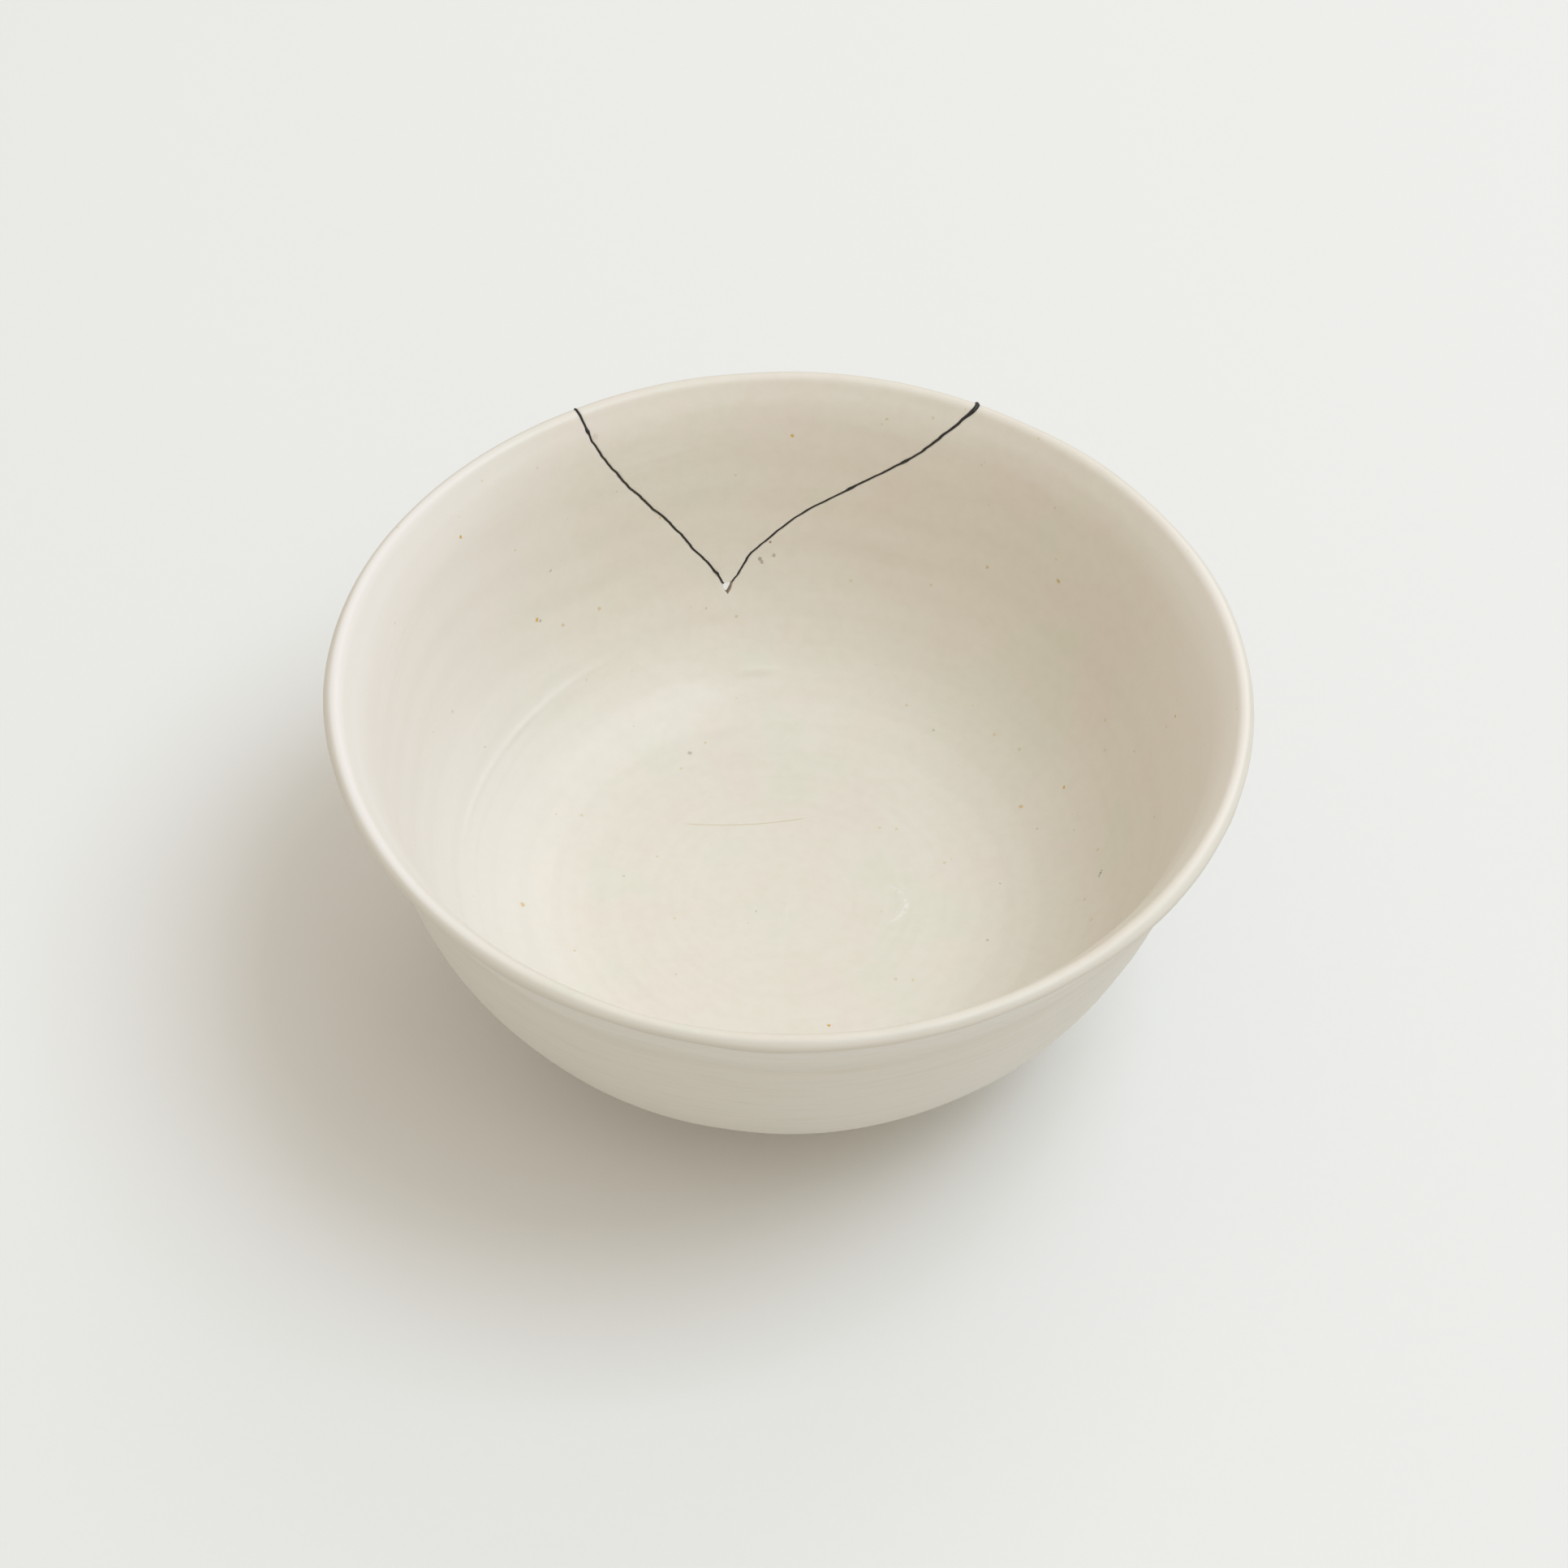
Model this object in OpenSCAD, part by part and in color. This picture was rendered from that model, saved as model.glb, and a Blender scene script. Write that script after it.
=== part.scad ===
// Thrown porcelain bowl, broken once at the rim and mended.
// The wedge-shaped sherd is glued back in, with a dark line of glue along each of
// its two breaks. The sherd's own point is lost, which leaves a small three-cornered
// hole right through the wall.
// Millimetres, +Z up, origin at the middle of the foot's underside. The sherd is at
// the back, around +Y.

/* [Bowl] */
// Outer diameter across the lip
rim_d = 160; // [130:1:200]
// Height from the foot's underside to the top of the lip
bowl_h = 72; // [58:1:90]
// Thickness of the thrown wall
wall = 3; // [2.4:0.1:4]
// Thickness of the wall where it springs from the foot
base_wall = 9; // [7:0.5:11]
// Thickness of the floor at its middle
floor_t = 6; // [4:0.5:8]

/* [Lip] */
// Thickness of the rounded lip
lip_t = 3.3; // [2.6:0.1:4.2]
// Height of the lip's top above the neck under it
neck_drop = 5.6; // [4.6:0.1:8]
// How far the neck stands in from the lip's outer edge
neck_in = 3.1; // [2.4:0.1:5]

/* [Foot] */
// Outer diameter of the foot ring
foot_d = 72; // [58:1:88]
// Height of the foot ring on the outside
foot_h = 6; // [4:0.5:9]
// Width of the ring that the bowl stands on
foot_w = 5; // [3.5:0.5:8]
// Depth of the hollow inside the foot ring
foot_recess = 8; // [5:0.5:9]

/* [Mend] */
// Width of the line of glue between the sherd and the bowl
seam_w = 0.4; // [0.2:0.05:1]
// How far the dried glue stands proud of the glaze
seam_proud = 0.15; // [0.05:0.05:0.4]

/* [Hidden] */

glaze_white = "#E6DFD1";
glue_black = "#1E1D1C";

// Angles of the outer wall above the floor, where it leaves the foot and at the neck,
// and how strongly each end pulls on the curve between them
foot_slope = 20;
neck_slope = 66;
foot_pull = 0.5;
neck_pull = 0.25;
// How quickly the wall thins above the foot
thinning = 6;
// Radii of the fillet outside the foot, the one in its hollow and its two worn edges
foot_fillet = 2;
foot_edge = 0.8;
// Ends of the lip's round, as angles about its middle
lip_under = -70;
lip_inside = 147;

// The two breaks, from above the lip down to the lost point's corners. Each point is
// [degrees round from +Y towards -X, millimetres below the top of the lip]
left_break = [[31.3, -6], [31.3, 0], [30.9, 1.5], [30.7, 3], [30.5, 4.5], [29.9, 6.7],
    [28.5, 10.2], [27, 13.6], [25.9, 15.8], [24.2, 18.7], [22.3, 22], [20.6, 24.5],
    [18.3, 28.4], [16.5, 31.8], [14.4, 34.8], [12.8, 37.2], [11.9, 39.3]];
right_break = [[-25.9, -6], [-25.6, 0], [-24.6, 1.5], [-22.4, 4.7], [-20.4, 7.8], [-18, 11],
    [-15.6, 13.6], [-12, 17.1], [-8.9, 19.9], [-5.5, 22.8], [-2.6, 25.1], [-0.1, 27.2],
    [3.7, 31], [6.9, 34], [8.1, 35.9], [9.4, 38], [10.2, 39]];
// The blunt bottom of the notch, under the lost point
notch_tip_left = [11.25, 41.2];
notch_tip_right = [11.1, 41.2];
// Every face of the break points at one spot on the axis, this far below the lip's top
focus_drop = 4;
// Facets of a full turn, and steps along the wall and round each small arc
turn_facets = 180;
wall_steps = 16;
arc_steps = 4;
lip_steps = 12;

foot_r = foot_d / 2;
floor_z = foot_recess + floor_t;
neck = [rim_d / 2 - neck_in, bowl_h - neck_drop];
lip_mid = [rim_d / 2 - lip_t / 2, bowl_h - lip_t / 2];
fillet_mid = [foot_r + foot_fillet, foot_h - foot_fillet];
spring = fillet_mid + foot_fillet * along(90 + foot_slope);
wall_span = norm(neck - spring);
belly = [
    spring,
    spring + foot_pull * wall_span * along(foot_slope),
    neck - neck_pull * wall_span * along(neck_slope),
    neck];
inner_table = [for (i = [0:wall_steps]) let (p = inner_pt(i / wall_steps, 0)) [p.y, p.x]];
focus = [0, 0, bowl_h - focus_drop];
reach = 0.7 * rim_d;

left_outside = beside(left_break, seam_w / 2);
left_inside = beside(left_break, -seam_w / 2);
right_outside = beside(right_break, -seam_w / 2);
right_inside = beside(right_break, seam_w / 2);

// Unit vector at an angle
function along(a) = [cos(a), sin(a)];

// Points of an arc about c
function arc(c, r, from, to, steps) =
    [for (i = [0:steps]) c + r * along(from + (to - from) * i / steps)];

// The outer wall's curve, from 0 at the foot to 1 at the neck, and its direction
function on_belly(t) = pow(1 - t, 3) * belly[0] + 3 * pow(1 - t, 2) * t * belly[1]
    + 3 * (1 - t) * t * t * belly[2] + pow(t, 3) * belly[3];
function belly_way(t) = pow(1 - t, 2) * (belly[1] - belly[0])
    + 2 * (1 - t) * t * (belly[2] - belly[1]) + t * t * (belly[3] - belly[2]);
function outward(t) = let (w = belly_way(t)) [w.y, -w.x] / norm(w);

// Wall thickness along the curve, and the points on its two faces
function wall_at(t) = wall + (base_wall - wall) * pow(1 - t, thinning);
function outer_pt(t, grow) = on_belly(t) + grow * outward(t);
function inner_pt(t, grow) = on_belly(t) - (wall_at(t) + grow) * outward(t);

// Radius of the inside at a height
function inner_r(z) = lookup(z, inner_table);

// The foot ring's section, from the middle of its hollow round to the wall
function foot_pts() = concat(
    [[0, foot_recess]],
    arc([foot_r - foot_w - foot_fillet, foot_recess - foot_fillet], foot_fillet, 90, 0, arc_steps),
    arc([foot_r - foot_w + foot_edge, foot_edge], foot_edge, 180, 270, arc_steps),
    arc([foot_r - foot_edge, foot_edge], foot_edge, -90, 0, arc_steps),
    arc(fillet_mid, foot_fillet, 180, 90 + foot_slope, arc_steps));

// The floor, from the wall's inner face in to the middle
function floor_pts() = let (edge = inner_pt(0, 0))
    [for (i = [arc_steps - 1:-1:0]) let (k = i / arc_steps)
        [edge.x * k, floor_z + (edge.y - floor_z) * k * k]];

// Half of the bowl's section, with the wall and lip grown on both faces
function section(grow) = concat(
    foot_pts(),
    [for (i = [1:wall_steps]) outer_pt(i / wall_steps, grow)],
    arc(lip_mid, lip_t / 2 + grow, lip_under, lip_inside, lip_steps),
    [for (i = [wall_steps:-1:0]) inner_pt(i / wall_steps, i > 0 ? grow : 0)],
    floor_pts());

// A break moved sideways across the face of the wall, towards -X when d is positive
function beside(line, d) = [for (i = [0:len(line) - 1])
    let (
        before = line[max(i - 1, 0)],
        after = line[min(i + 1, len(line) - 1)],
        mm_per_deg = PI / 180 * inner_r(bowl_h - line[i].y),
        way = [(after.x - before.x) * mm_per_deg, after.y - before.y],
        side = [way.y, -way.x] / norm(way))
    line[i] + d * [side.x / mm_per_deg, side.y]];

// Where the line from the focus through a point of a break leaves the bowl far behind
function far(p) = let (z = bowl_h - p.y, r = inner_r(z))
    focus + reach / r * ([-r * sin(p.x), r * cos(p.x), z] - focus);

// Everything between two breaks, seen from the focus: a on the -X side and b on the +X side
module wedge(a, b) {
    n = len(a);
    rungs = [0:n - 2];
    polyhedron(
        points = concat([focus], [for (p = a) far(p)], [for (p = b) far(p)]),
        faces = concat(
            [for (i = rungs) [0, 2 + i, 1 + i]],
            [for (i = rungs) [0, n + 1 + i, n + 2 + i]],
            [for (i = rungs) [1 + i, 2 + i, n + 1 + i]],
            [for (i = rungs) [2 + i, n + 2 + i, n + 1 + i]],
            [[0, 1, n + 1], [0, 2 * n, n]]));
}

// The whole bowl as it was thrown
module whole_bowl(grow) {
    rotate_extrude($fn = turn_facets)
        polygon(section(grow));
}

module bowl_body() {
    color(glaze_white)
    difference() {
        whole_bowl(0);
        wedge(concat(left_outside, [notch_tip_left]), concat(right_outside, [notch_tip_right]));
    }
}

module rim_shard() {
    color(glaze_white)
    intersection() {
        whole_bowl(0);
        wedge(left_inside, right_inside);
    }
}

module mend_seam_left() {
    color(glue_black)
    intersection() {
        whole_bowl(seam_proud);
        wedge(left_outside, left_inside);
    }
}

module mend_seam_right() {
    color(glue_black)
    intersection() {
        whole_bowl(seam_proud);
        wedge(right_inside, right_outside);
    }
}

bowl_body();
rim_shard();
mend_seam_left();
mend_seam_right();
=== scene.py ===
"""A thrown porcelain bowl that broke once at the rim and was glued together again.

The bowl and its sherd are skins laid over one turned section, so the throwing rings,
ridges and dents run on across the breaks. The glue fills both breaks through the whole
wall and stands a little proud of the glaze. The sherd's own point is lost, which leaves
a small three-cornered hole.

Lengths are in millimetres until a mesh is made, which turns them into metres. A place on
the clay is given by two numbers: `run`, the way along the turned section from the middle
of the floor, up the inside, over the lip and down the outside to the middle of the foot's
hollow, and `turn`, the angle round from the back of the bowl (+Y) towards the left (-X).
"""

import logging
import math
from dataclasses import dataclass
from enum import Enum
from typing import Any, Optional, Sequence, Union

import bmesh
import bpy
import numpy as np
from mathutils import Matrix, Vector


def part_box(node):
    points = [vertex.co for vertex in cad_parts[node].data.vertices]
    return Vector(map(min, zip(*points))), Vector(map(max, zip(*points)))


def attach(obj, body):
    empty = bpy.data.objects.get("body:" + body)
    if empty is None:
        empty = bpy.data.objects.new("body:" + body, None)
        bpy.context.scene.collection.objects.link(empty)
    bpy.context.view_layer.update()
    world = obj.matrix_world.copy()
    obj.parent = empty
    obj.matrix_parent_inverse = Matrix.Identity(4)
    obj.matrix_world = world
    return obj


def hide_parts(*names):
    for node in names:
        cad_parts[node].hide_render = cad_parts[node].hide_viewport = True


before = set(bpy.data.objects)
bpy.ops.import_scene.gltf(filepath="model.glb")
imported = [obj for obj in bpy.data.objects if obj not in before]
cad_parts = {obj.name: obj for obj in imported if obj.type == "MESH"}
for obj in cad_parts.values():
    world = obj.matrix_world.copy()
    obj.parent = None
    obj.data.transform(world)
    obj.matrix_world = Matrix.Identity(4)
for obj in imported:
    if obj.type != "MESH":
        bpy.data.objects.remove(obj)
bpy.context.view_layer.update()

log = logging.getLogger("cracked_bowl")

MM = 0.001
TAU = 2 * math.pi
# Millimetres up the wall for one unit of climb, at the wall's usual radius there
CLIMB = 66.0
Number = Union[float, np.ndarray]
Colour = tuple[float, float, float]
Point = tuple[float, float, float]


# ---------------------------------------------------------------- the clay


def along(degrees: float) -> np.ndarray:
    """Unit vector at an angle."""
    return np.array([math.cos(math.radians(degrees)), math.sin(math.radians(degrees))])


def arc(centre: np.ndarray, radius: float, start: float, end: float) -> np.ndarray:
    """Points of a round in the section, from one angle to another in degrees."""
    angles = np.radians(np.linspace(start, end, 33))
    return centre + radius * np.stack([np.cos(angles), np.sin(angles)], axis=1)


def bell(x: Number, middle: float, width: float) -> Number:
    """A smooth hump of height 1 about a middle."""
    return np.exp(-(((x - middle) / width) ** 2))


def ease(x: Number) -> Number:
    """A smooth step from 0 to 1."""
    x = np.clip(x, 0, 1)
    return x * x * (3 - 2 * x)


class Drift:
    """A slow, seeded wander through space, between about -1 and 1."""

    def __init__(self, seed: int, length: float, waves: int = 9) -> None:
        """Chooses the waves.

        Args:
            seed: Seed of the random draws.
            length: Typical wavelength, in millimetres.
            waves: How many waves are added up.
        """
        draw = np.random.default_rng(seed)
        ways = draw.normal(size=(waves, 3))
        ways /= np.linalg.norm(ways, axis=1, keepdims=True)
        self.ways = ways * (TAU / length) * draw.uniform(0.6, 1.5, size=(waves, 1))
        self.phases = draw.uniform(0, TAU, size=waves)

    def at(self, points: np.ndarray) -> np.ndarray:
        """The wander at each of many points.

        Args:
            points: Places, with x, y and z on the last axis.

        Returns:
            The wander for each.
        """
        total = np.zeros(points.shape[:-1])
        for way, phase in zip(self.ways, self.phases):
            total += np.sin(points @ way + phase)
        return total / math.sqrt(len(self.phases) / 2)


@dataclass(frozen=True)
class TurnedSection:
    """Half of the bowl's section as it left the wheel."""

    rim_d: float
    height: float
    wall: float = 3.0
    base_wall: float = 9.0
    floor_t: float = 6.0
    lip_t: float = 3.3
    neck_drop: float = 5.6
    neck_in: float = 3.1
    foot_d: float = 72.0
    foot_h: float = 6.0
    foot_w: float = 5.0
    foot_recess: float = 8.0
    foot_slope: float = 20.0
    neck_slope: float = 66.0
    foot_pull: float = 0.5
    neck_pull: float = 0.25
    thinning: float = 6.0
    foot_fillet: float = 2.0
    foot_edge: float = 0.8
    lip_under: float = -70.0
    lip_inside: float = 147.0
    softening: float = 0.35
    neck_softening: float = 2.4
    neck_reach: float = 3.4
    neck_shift: float = 1.0
    step: float = 0.1

    def wall_curves(self) -> tuple[np.ndarray, np.ndarray]:
        """The outer and the inner face of the wall, from the foot up to the neck.

        Returns:
            The outer points and the inner points, one row each.
        """
        neck = np.array([self.rim_d / 2 - self.neck_in, self.height - self.neck_drop])
        fillet = np.array([self.foot_d / 2 + self.foot_fillet, self.foot_h - self.foot_fillet])
        spring = fillet + self.foot_fillet * along(90 + self.foot_slope)
        span = float(np.linalg.norm(neck - spring))
        ends = (
            spring,
            spring + self.foot_pull * span * along(self.foot_slope),
            neck - self.neck_pull * span * along(self.neck_slope),
            neck,
        )
        t = np.linspace(0, 1, 240)[:, None]
        outer = (
            (1 - t) ** 3 * ends[0]
            + 3 * (1 - t) ** 2 * t * ends[1]
            + 3 * (1 - t) * t**2 * ends[2]
            + t**3 * ends[3]
        )
        way = (
            (1 - t) ** 2 * (ends[1] - ends[0])
            + 2 * (1 - t) * t * (ends[2] - ends[1])
            + t**2 * (ends[3] - ends[2])
        )
        outward = np.stack([way[:, 1], -way[:, 0]], axis=1)
        outward /= np.linalg.norm(outward, axis=1, keepdims=True)
        thickness = self.wall + (self.base_wall - self.wall) * (1 - t) ** self.thinning
        return outer, outer - thickness * outward

    def outline(self) -> np.ndarray:
        """The whole half section, from the middle of the floor round to the foot's hollow.

        Returns:
            Points a `step` apart, with their corners softened as glaze softens them.
        """
        outer, inner = self.wall_curves()
        floor_z = self.foot_recess + self.floor_t
        share = np.linspace(0, 1, 60)[:-1]
        floor = np.stack(
            [inner[0, 0] * share, floor_z + (inner[0, 1] - floor_z) * share**2], axis=1
        )
        lip_mid = np.array([self.rim_d / 2 - self.lip_t / 2, self.height - self.lip_t / 2])
        lip = arc(lip_mid, self.lip_t / 2, self.lip_inside, self.lip_under)
        foot_r = self.foot_d / 2
        fillet_z = self.foot_h - self.foot_fillet
        foot = np.concatenate([
            arc(np.array([foot_r + self.foot_fillet, fillet_z]), self.foot_fillet,
                90 + self.foot_slope, 180),
            arc(np.array([foot_r - self.foot_edge, self.foot_edge]), self.foot_edge, 0, -90),
            arc(np.array([foot_r - self.foot_w + self.foot_edge, self.foot_edge]),
                self.foot_edge, 270, 180),
            arc(np.array([foot_r - self.foot_w - self.foot_fillet,
                          self.foot_recess - self.foot_fillet]), self.foot_fillet, 0, 90),
            [[0, self.foot_recess]],
        ])
        line = np.concatenate([floor, inner, lip, outer[::-1], foot])
        line = self.evenly(line)
        corner = np.argmin(np.linalg.norm(line - inner[-1], axis=1))
        away = (np.arange(len(line)) - corner) * self.step + self.neck_shift
        share = bell(away, 0, self.neck_reach)[:, None]
        crisp, flowing = self.soften(line, self.softening), self.soften(line, self.neck_softening)
        return crisp * (1 - share) + flowing * share

    def evenly(self, line: np.ndarray) -> np.ndarray:
        """Spaces a line's points evenly.

        Args:
            line: Points of the section.

        Returns:
            The same line with its points a `step` apart.
        """
        gaps = np.linalg.norm(np.diff(line, axis=0), axis=1)
        line = line[np.concatenate([[True], gaps > 1e-6])]
        way = np.concatenate([[0], np.cumsum(np.linalg.norm(np.diff(line, axis=0), axis=1))])
        even = np.linspace(0, way[-1], int(way[-1] / self.step) + 1)
        return np.stack([np.interp(even, way, line[:, k]) for k in (0, 1)], axis=1)

    def soften(self, line: np.ndarray, size: float) -> np.ndarray:
        """Rounds a line's corners.

        Args:
            line: Even points of the section.
            size: How far along the line the rounding reaches.

        Returns:
            The same line, softened.
        """
        reach = int(4 * size / self.step)
        weights = np.exp(-0.5 * (np.arange(-reach, reach + 1) * self.step / size) ** 2)
        weights /= weights.sum()
        mirror = np.array([-1, 1])
        padded = np.concatenate([
            line[reach:0:-1] * mirror,
            line,
            line[-2:-reach - 2:-1] * mirror,
        ])
        return np.stack([np.convolve(padded[:, k], weights, "valid") for k in (0, 1)], axis=1)


@dataclass(frozen=True)
class OutOfRound:
    """How far the rim stands out from a true circle, all the way round.

    `steps` are even steps in millimetres, from the right (+X) towards the back (+Y).
    """

    steps: tuple[float, ...] = (0.2, 0.1, -0.65, -0.9, -0.75, -0.8, -1.0, -0.55, 0.1, 0.0, -0.2,
                                -0.25, 0.0, 0.25, 0.25, 0.0, -0.1, 0.35)
    finest: int = 7
    from_height: float = 32.0

    def at(self, bearing: np.ndarray, z: np.ndarray, height: float) -> np.ndarray:
        """How far the clay stands out.

        Args:
            bearing: Angles from the right towards the back, in radians.
            z: Heights of the places.
            height: Height of the whole bowl.

        Returns:
            Millimetres outwards from the axis.
        """
        waves = np.fft.rfft(self.steps) / len(self.steps)
        total = waves[0].real + 0 * bearing
        for k in range(1, self.finest + 1):
            total = total + 2 * (waves[k].real * np.cos(k * bearing)
                                 - waves[k].imag * np.sin(k * bearing))
        return total * ease((z - self.from_height) / (height - self.from_height))


@dataclass(frozen=True)
class ThrowingRings:
    """The spiral rings that fingers leave on the wheel, a certain `spacing` apart.

    `floor` gives their height at ways from the middle of the floor, `lip` at ways from the
    crest of the lip, and `foot` in the middle of the foot's hollow.
    """

    spacing: float
    wander: float
    patchiness: float
    floor: tuple[tuple[float, float], ...]
    lip: tuple[tuple[float, float], ...]
    foot: float

    def height(self, run: np.ndarray, crest: float, end: float) -> np.ndarray:
        """Height of the rings along the section.

        Args:
            run: Ways along the section.
            crest: Run of the lip's crest.
            end: Run of the section's end.

        Returns:
            Half the height from groove to ring, in millimetres.
        """
        known = [*self.floor, *((crest + way, high) for way, high in self.lip), (end, self.foot)]
        ways, heights = zip(*known)
        return np.interp(run, ways, heights)


FINE_RINGS = ThrowingRings(
    spacing=2.3,
    wander=1.4,
    patchiness=0.35,
    floor=((0, 0), (4, 0.012), (30, 0.021), (45, 0.011), (60, 0.009)),
    lip=((-12, 0.010), (-6, 0), (6, 0), (12, 0.010), (70, 0.006)),
    foot=0.012,
)
BROAD_RINGS = ThrowingRings(
    spacing=8.7,
    wander=0.9,
    patchiness=0.0,
    floor=((0, 0), (30, 0.012), (55, 0.02), (70, 0.045)),
    lip=((-10, 0.04), (-4, 0), (6, 0), (14, 0.035), (80, 0.02)),
    foot=0.0,
)


@dataclass(frozen=True)
class Ridge:
    """A low ridge, or a groove below 0, that a finger or a rib left in the clay.

    It is highest at `turn` and fades over `spread` degrees; unless they are given it goes
    all the way round.
    """

    run: float
    width: float
    height: float
    turn: float = 180.0
    spread: float = 400.0


@dataclass(frozen=True)
class FingerDent:
    """A flat finger mark on the floor with a raised edge, strongest at its ends."""

    x: float = 11.3
    y: float = -1.2
    half_length: float = 11.0
    half_width: float = 6.2
    tilt: float = 14.0
    edge_height: float = 0.10
    edge_width: float = 0.075
    depth: float = 0.05

    def relief(self, x: np.ndarray, y: np.ndarray) -> np.ndarray:
        """Height of the mark above the floor.

        Args:
            x: Places across.
            y: Places along.

        Returns:
            Height in millimetres, negative in the dent.
        """
        c, s = along(self.tilt)
        u = ((x - self.x) * c + (y - self.y) * s) / self.half_length
        v = (-(x - self.x) * s + (y - self.y) * c) / self.half_width
        out = np.hypot(u, v)
        towards_right = np.clip(u / np.maximum(out, 0.2), 0, 1) ** 2
        towards_left = np.clip(-u / np.maximum(out, 0.2), 0, 1) ** 6
        edge = self.edge_height * (towards_right + 0.5 * towards_left)
        return edge * bell(out, 1.0, self.edge_width) - self.depth * (1 - ease(out))


class Clay:
    """The thrown form: a place for every `run` and `turn`, with all its marks of making.

    The breaks are seen from a focus on the axis, `focus_drop` below the lip's top, and
    `climb` is the slope of a line of sight from there, the same on both faces of the wall.
    The two crowdings set rows of the skin closer together at bends and below the neck, and
    the rim rises and falls by `rim_rise` twice on its way round.
    """

    focus_drop = 4.0
    crease_r = 58.2
    bend_crowding = 2.2
    neck_crowding = 1.2
    rim_rise = 0.12
    rise_turn = 0.7

    def __init__(self, section: TurnedSection) -> None:
        """Measures the section.

        Args:
            section: The bowl's half section.
        """
        self.section = section
        line = section.outline()
        self.r, self.z = line[:, 0], line[:, 1]
        gaps = np.linalg.norm(np.diff(line, axis=0), axis=1)
        self.run = np.concatenate([[0], np.cumsum(gaps)])
        way = np.gradient(line, self.run, axis=0)
        way /= np.linalg.norm(way, axis=1, keepdims=True)
        self.normal = np.stack([-way[:, 1], way[:, 0]], axis=1)
        bend = np.abs(np.gradient(np.unwrap(np.arctan2(way[:, 1], way[:, 0])), self.run))
        neck = np.array([section.rim_d / 2 - section.neck_in, section.height - section.neck_drop])
        near_neck = np.linalg.norm(line[1:] - neck + 6.0 * along(section.neck_slope), axis=1)
        crease = bell(self.r[1:], self.crease_r, 2.2) * (self.z[1:] > 20)
        crowded = (1 + self.bend_crowding * np.minimum(bend[1:], 1.0)
                   + self.neck_crowding * bell(near_neck, 0, 3.5) + crease)
        self.cost = np.concatenate([[0], np.cumsum(gaps * crowded)])
        self.focus_z = section.height - self.focus_drop
        self.climb = (self.z - self.focus_z) / np.maximum(self.r, 0.5)
        upper = self.z > section.height - section.lip_t
        self.crest = int(np.argmax(np.where(upper, self.climb, -9)))
        self.neck_run = self.run_outside((section.height - section.neck_drop - self.focus_z)
                                         / (section.rim_d / 2 - section.neck_in))
        self.slow = Drift(3, 42)
        self.middling = Drift(5, 17)
        self.quick = Drift(8, 7)
        self.dent = FingerDent()
        self.out_of_round = OutOfRound()
        self.ridges = self.finger_ridges()

    def run_inside(self, climb: Number) -> Number:
        """Where the line of sight at a climb from the focus meets the inside."""
        part = slice(10, self.crest + 1)
        return np.interp(climb, self.climb[part], self.run[part])

    def run_outside(self, climb: Number) -> Number:
        """Where the line of sight at a climb from the focus meets the outside.

        Args:
            climb: Climbs from the focus.

        Returns:
            The run for each.
        """
        last = int(np.argmax(self.z[self.crest:] < self.section.foot_h + 4)) + self.crest
        part = slice(self.crest, last)
        return np.interp(climb, self.climb[part][::-1], self.run[part][::-1])

    def run_at_radius(self, radius: float) -> float:
        """Run of the inside at a radius."""
        return float(np.interp(radius, self.r[:self.crest], self.run[:self.crest]))

    def run_near(self, radius: float, z: float) -> float:
        """Run of the section's point closest to a radius and a height."""
        return float(self.run[np.argmin(np.hypot(self.r - radius, self.z - z))])

    def nearest(self, spot: Point) -> Point:
        """The place on the finished clay closest to a roughly given spot.

        Args:
            spot: Its x, y and z in millimetres.

        Returns:
            The place on the glaze.
        """
        x, y, z = spot
        run = self.run_near(math.hypot(x, y), z)
        return tuple(self.place(run, math.degrees(math.atan2(-x, y))).tolist())

    def climb_at_drop(self, drop: Sequence[float]) -> np.ndarray:
        """Climb of the inside a certain way below the lip's top.

        Args:
            drop: Millimetres below the lip's top.

        Returns:
            The climb for each.
        """
        _, inner = self.section.wall_curves()
        z = self.section.height - np.asarray(drop, float)
        return (z - self.focus_z) / np.interp(z, inner[:, 1], inner[:, 0])

    def finger_ridges(self) -> list[Ridge]:
        """The ridges and grooves that show most.

        Returns:
            Those on the inside, then those on the outside.
        """
        inside = [
            Ridge(self.run_at_radius(self.crease_r), 0.62, 0.24, 63, 22),
            Ridge(self.run_at_radius(57.5), 1.3, 0.22, 49, 6),
            Ridge(self.run_at_radius(51.7), 0.7, 0.15, 7, 4),
            Ridge(self.run_at_radius(38.0), 0.8, 0.065),
            Ridge(self.run_at_radius(32.8), 0.8, 0.075),
            Ridge(self.run_at_radius(26.5), 0.9, 0.040),
            Ridge(self.run_at_radius(44.5), 1.2, 0.035),
            Ridge(self.run_at_radius(61.0), 2.0, 0.05, 0, 60),
            Ridge(self.run_at_radius(66.0), 2.4, 0.06, 0, 70),
            Ridge(self.run_at_radius(69.6), 2.2, 0.04, 0, 80),
        ]
        under_lip = self.run_near(self.section.rim_d / 2 - 0.8, self.section.height - 3.1)
        outside = [
            Ridge(under_lip, 1.3, -0.38),
            Ridge(self.neck_run + 3.2, 1.3, -0.10),
            Ridge(self.neck_run + 6.3, 0.8, 0.12),
            Ridge(self.neck_run + 9.6, 1.2, -0.16),
            Ridge(self.neck_run + 12.6, 1.0, 0.08),
            Ridge(self.neck_run + 17.5, 3.0, 0.05),
        ]
        return inside + outside

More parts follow.
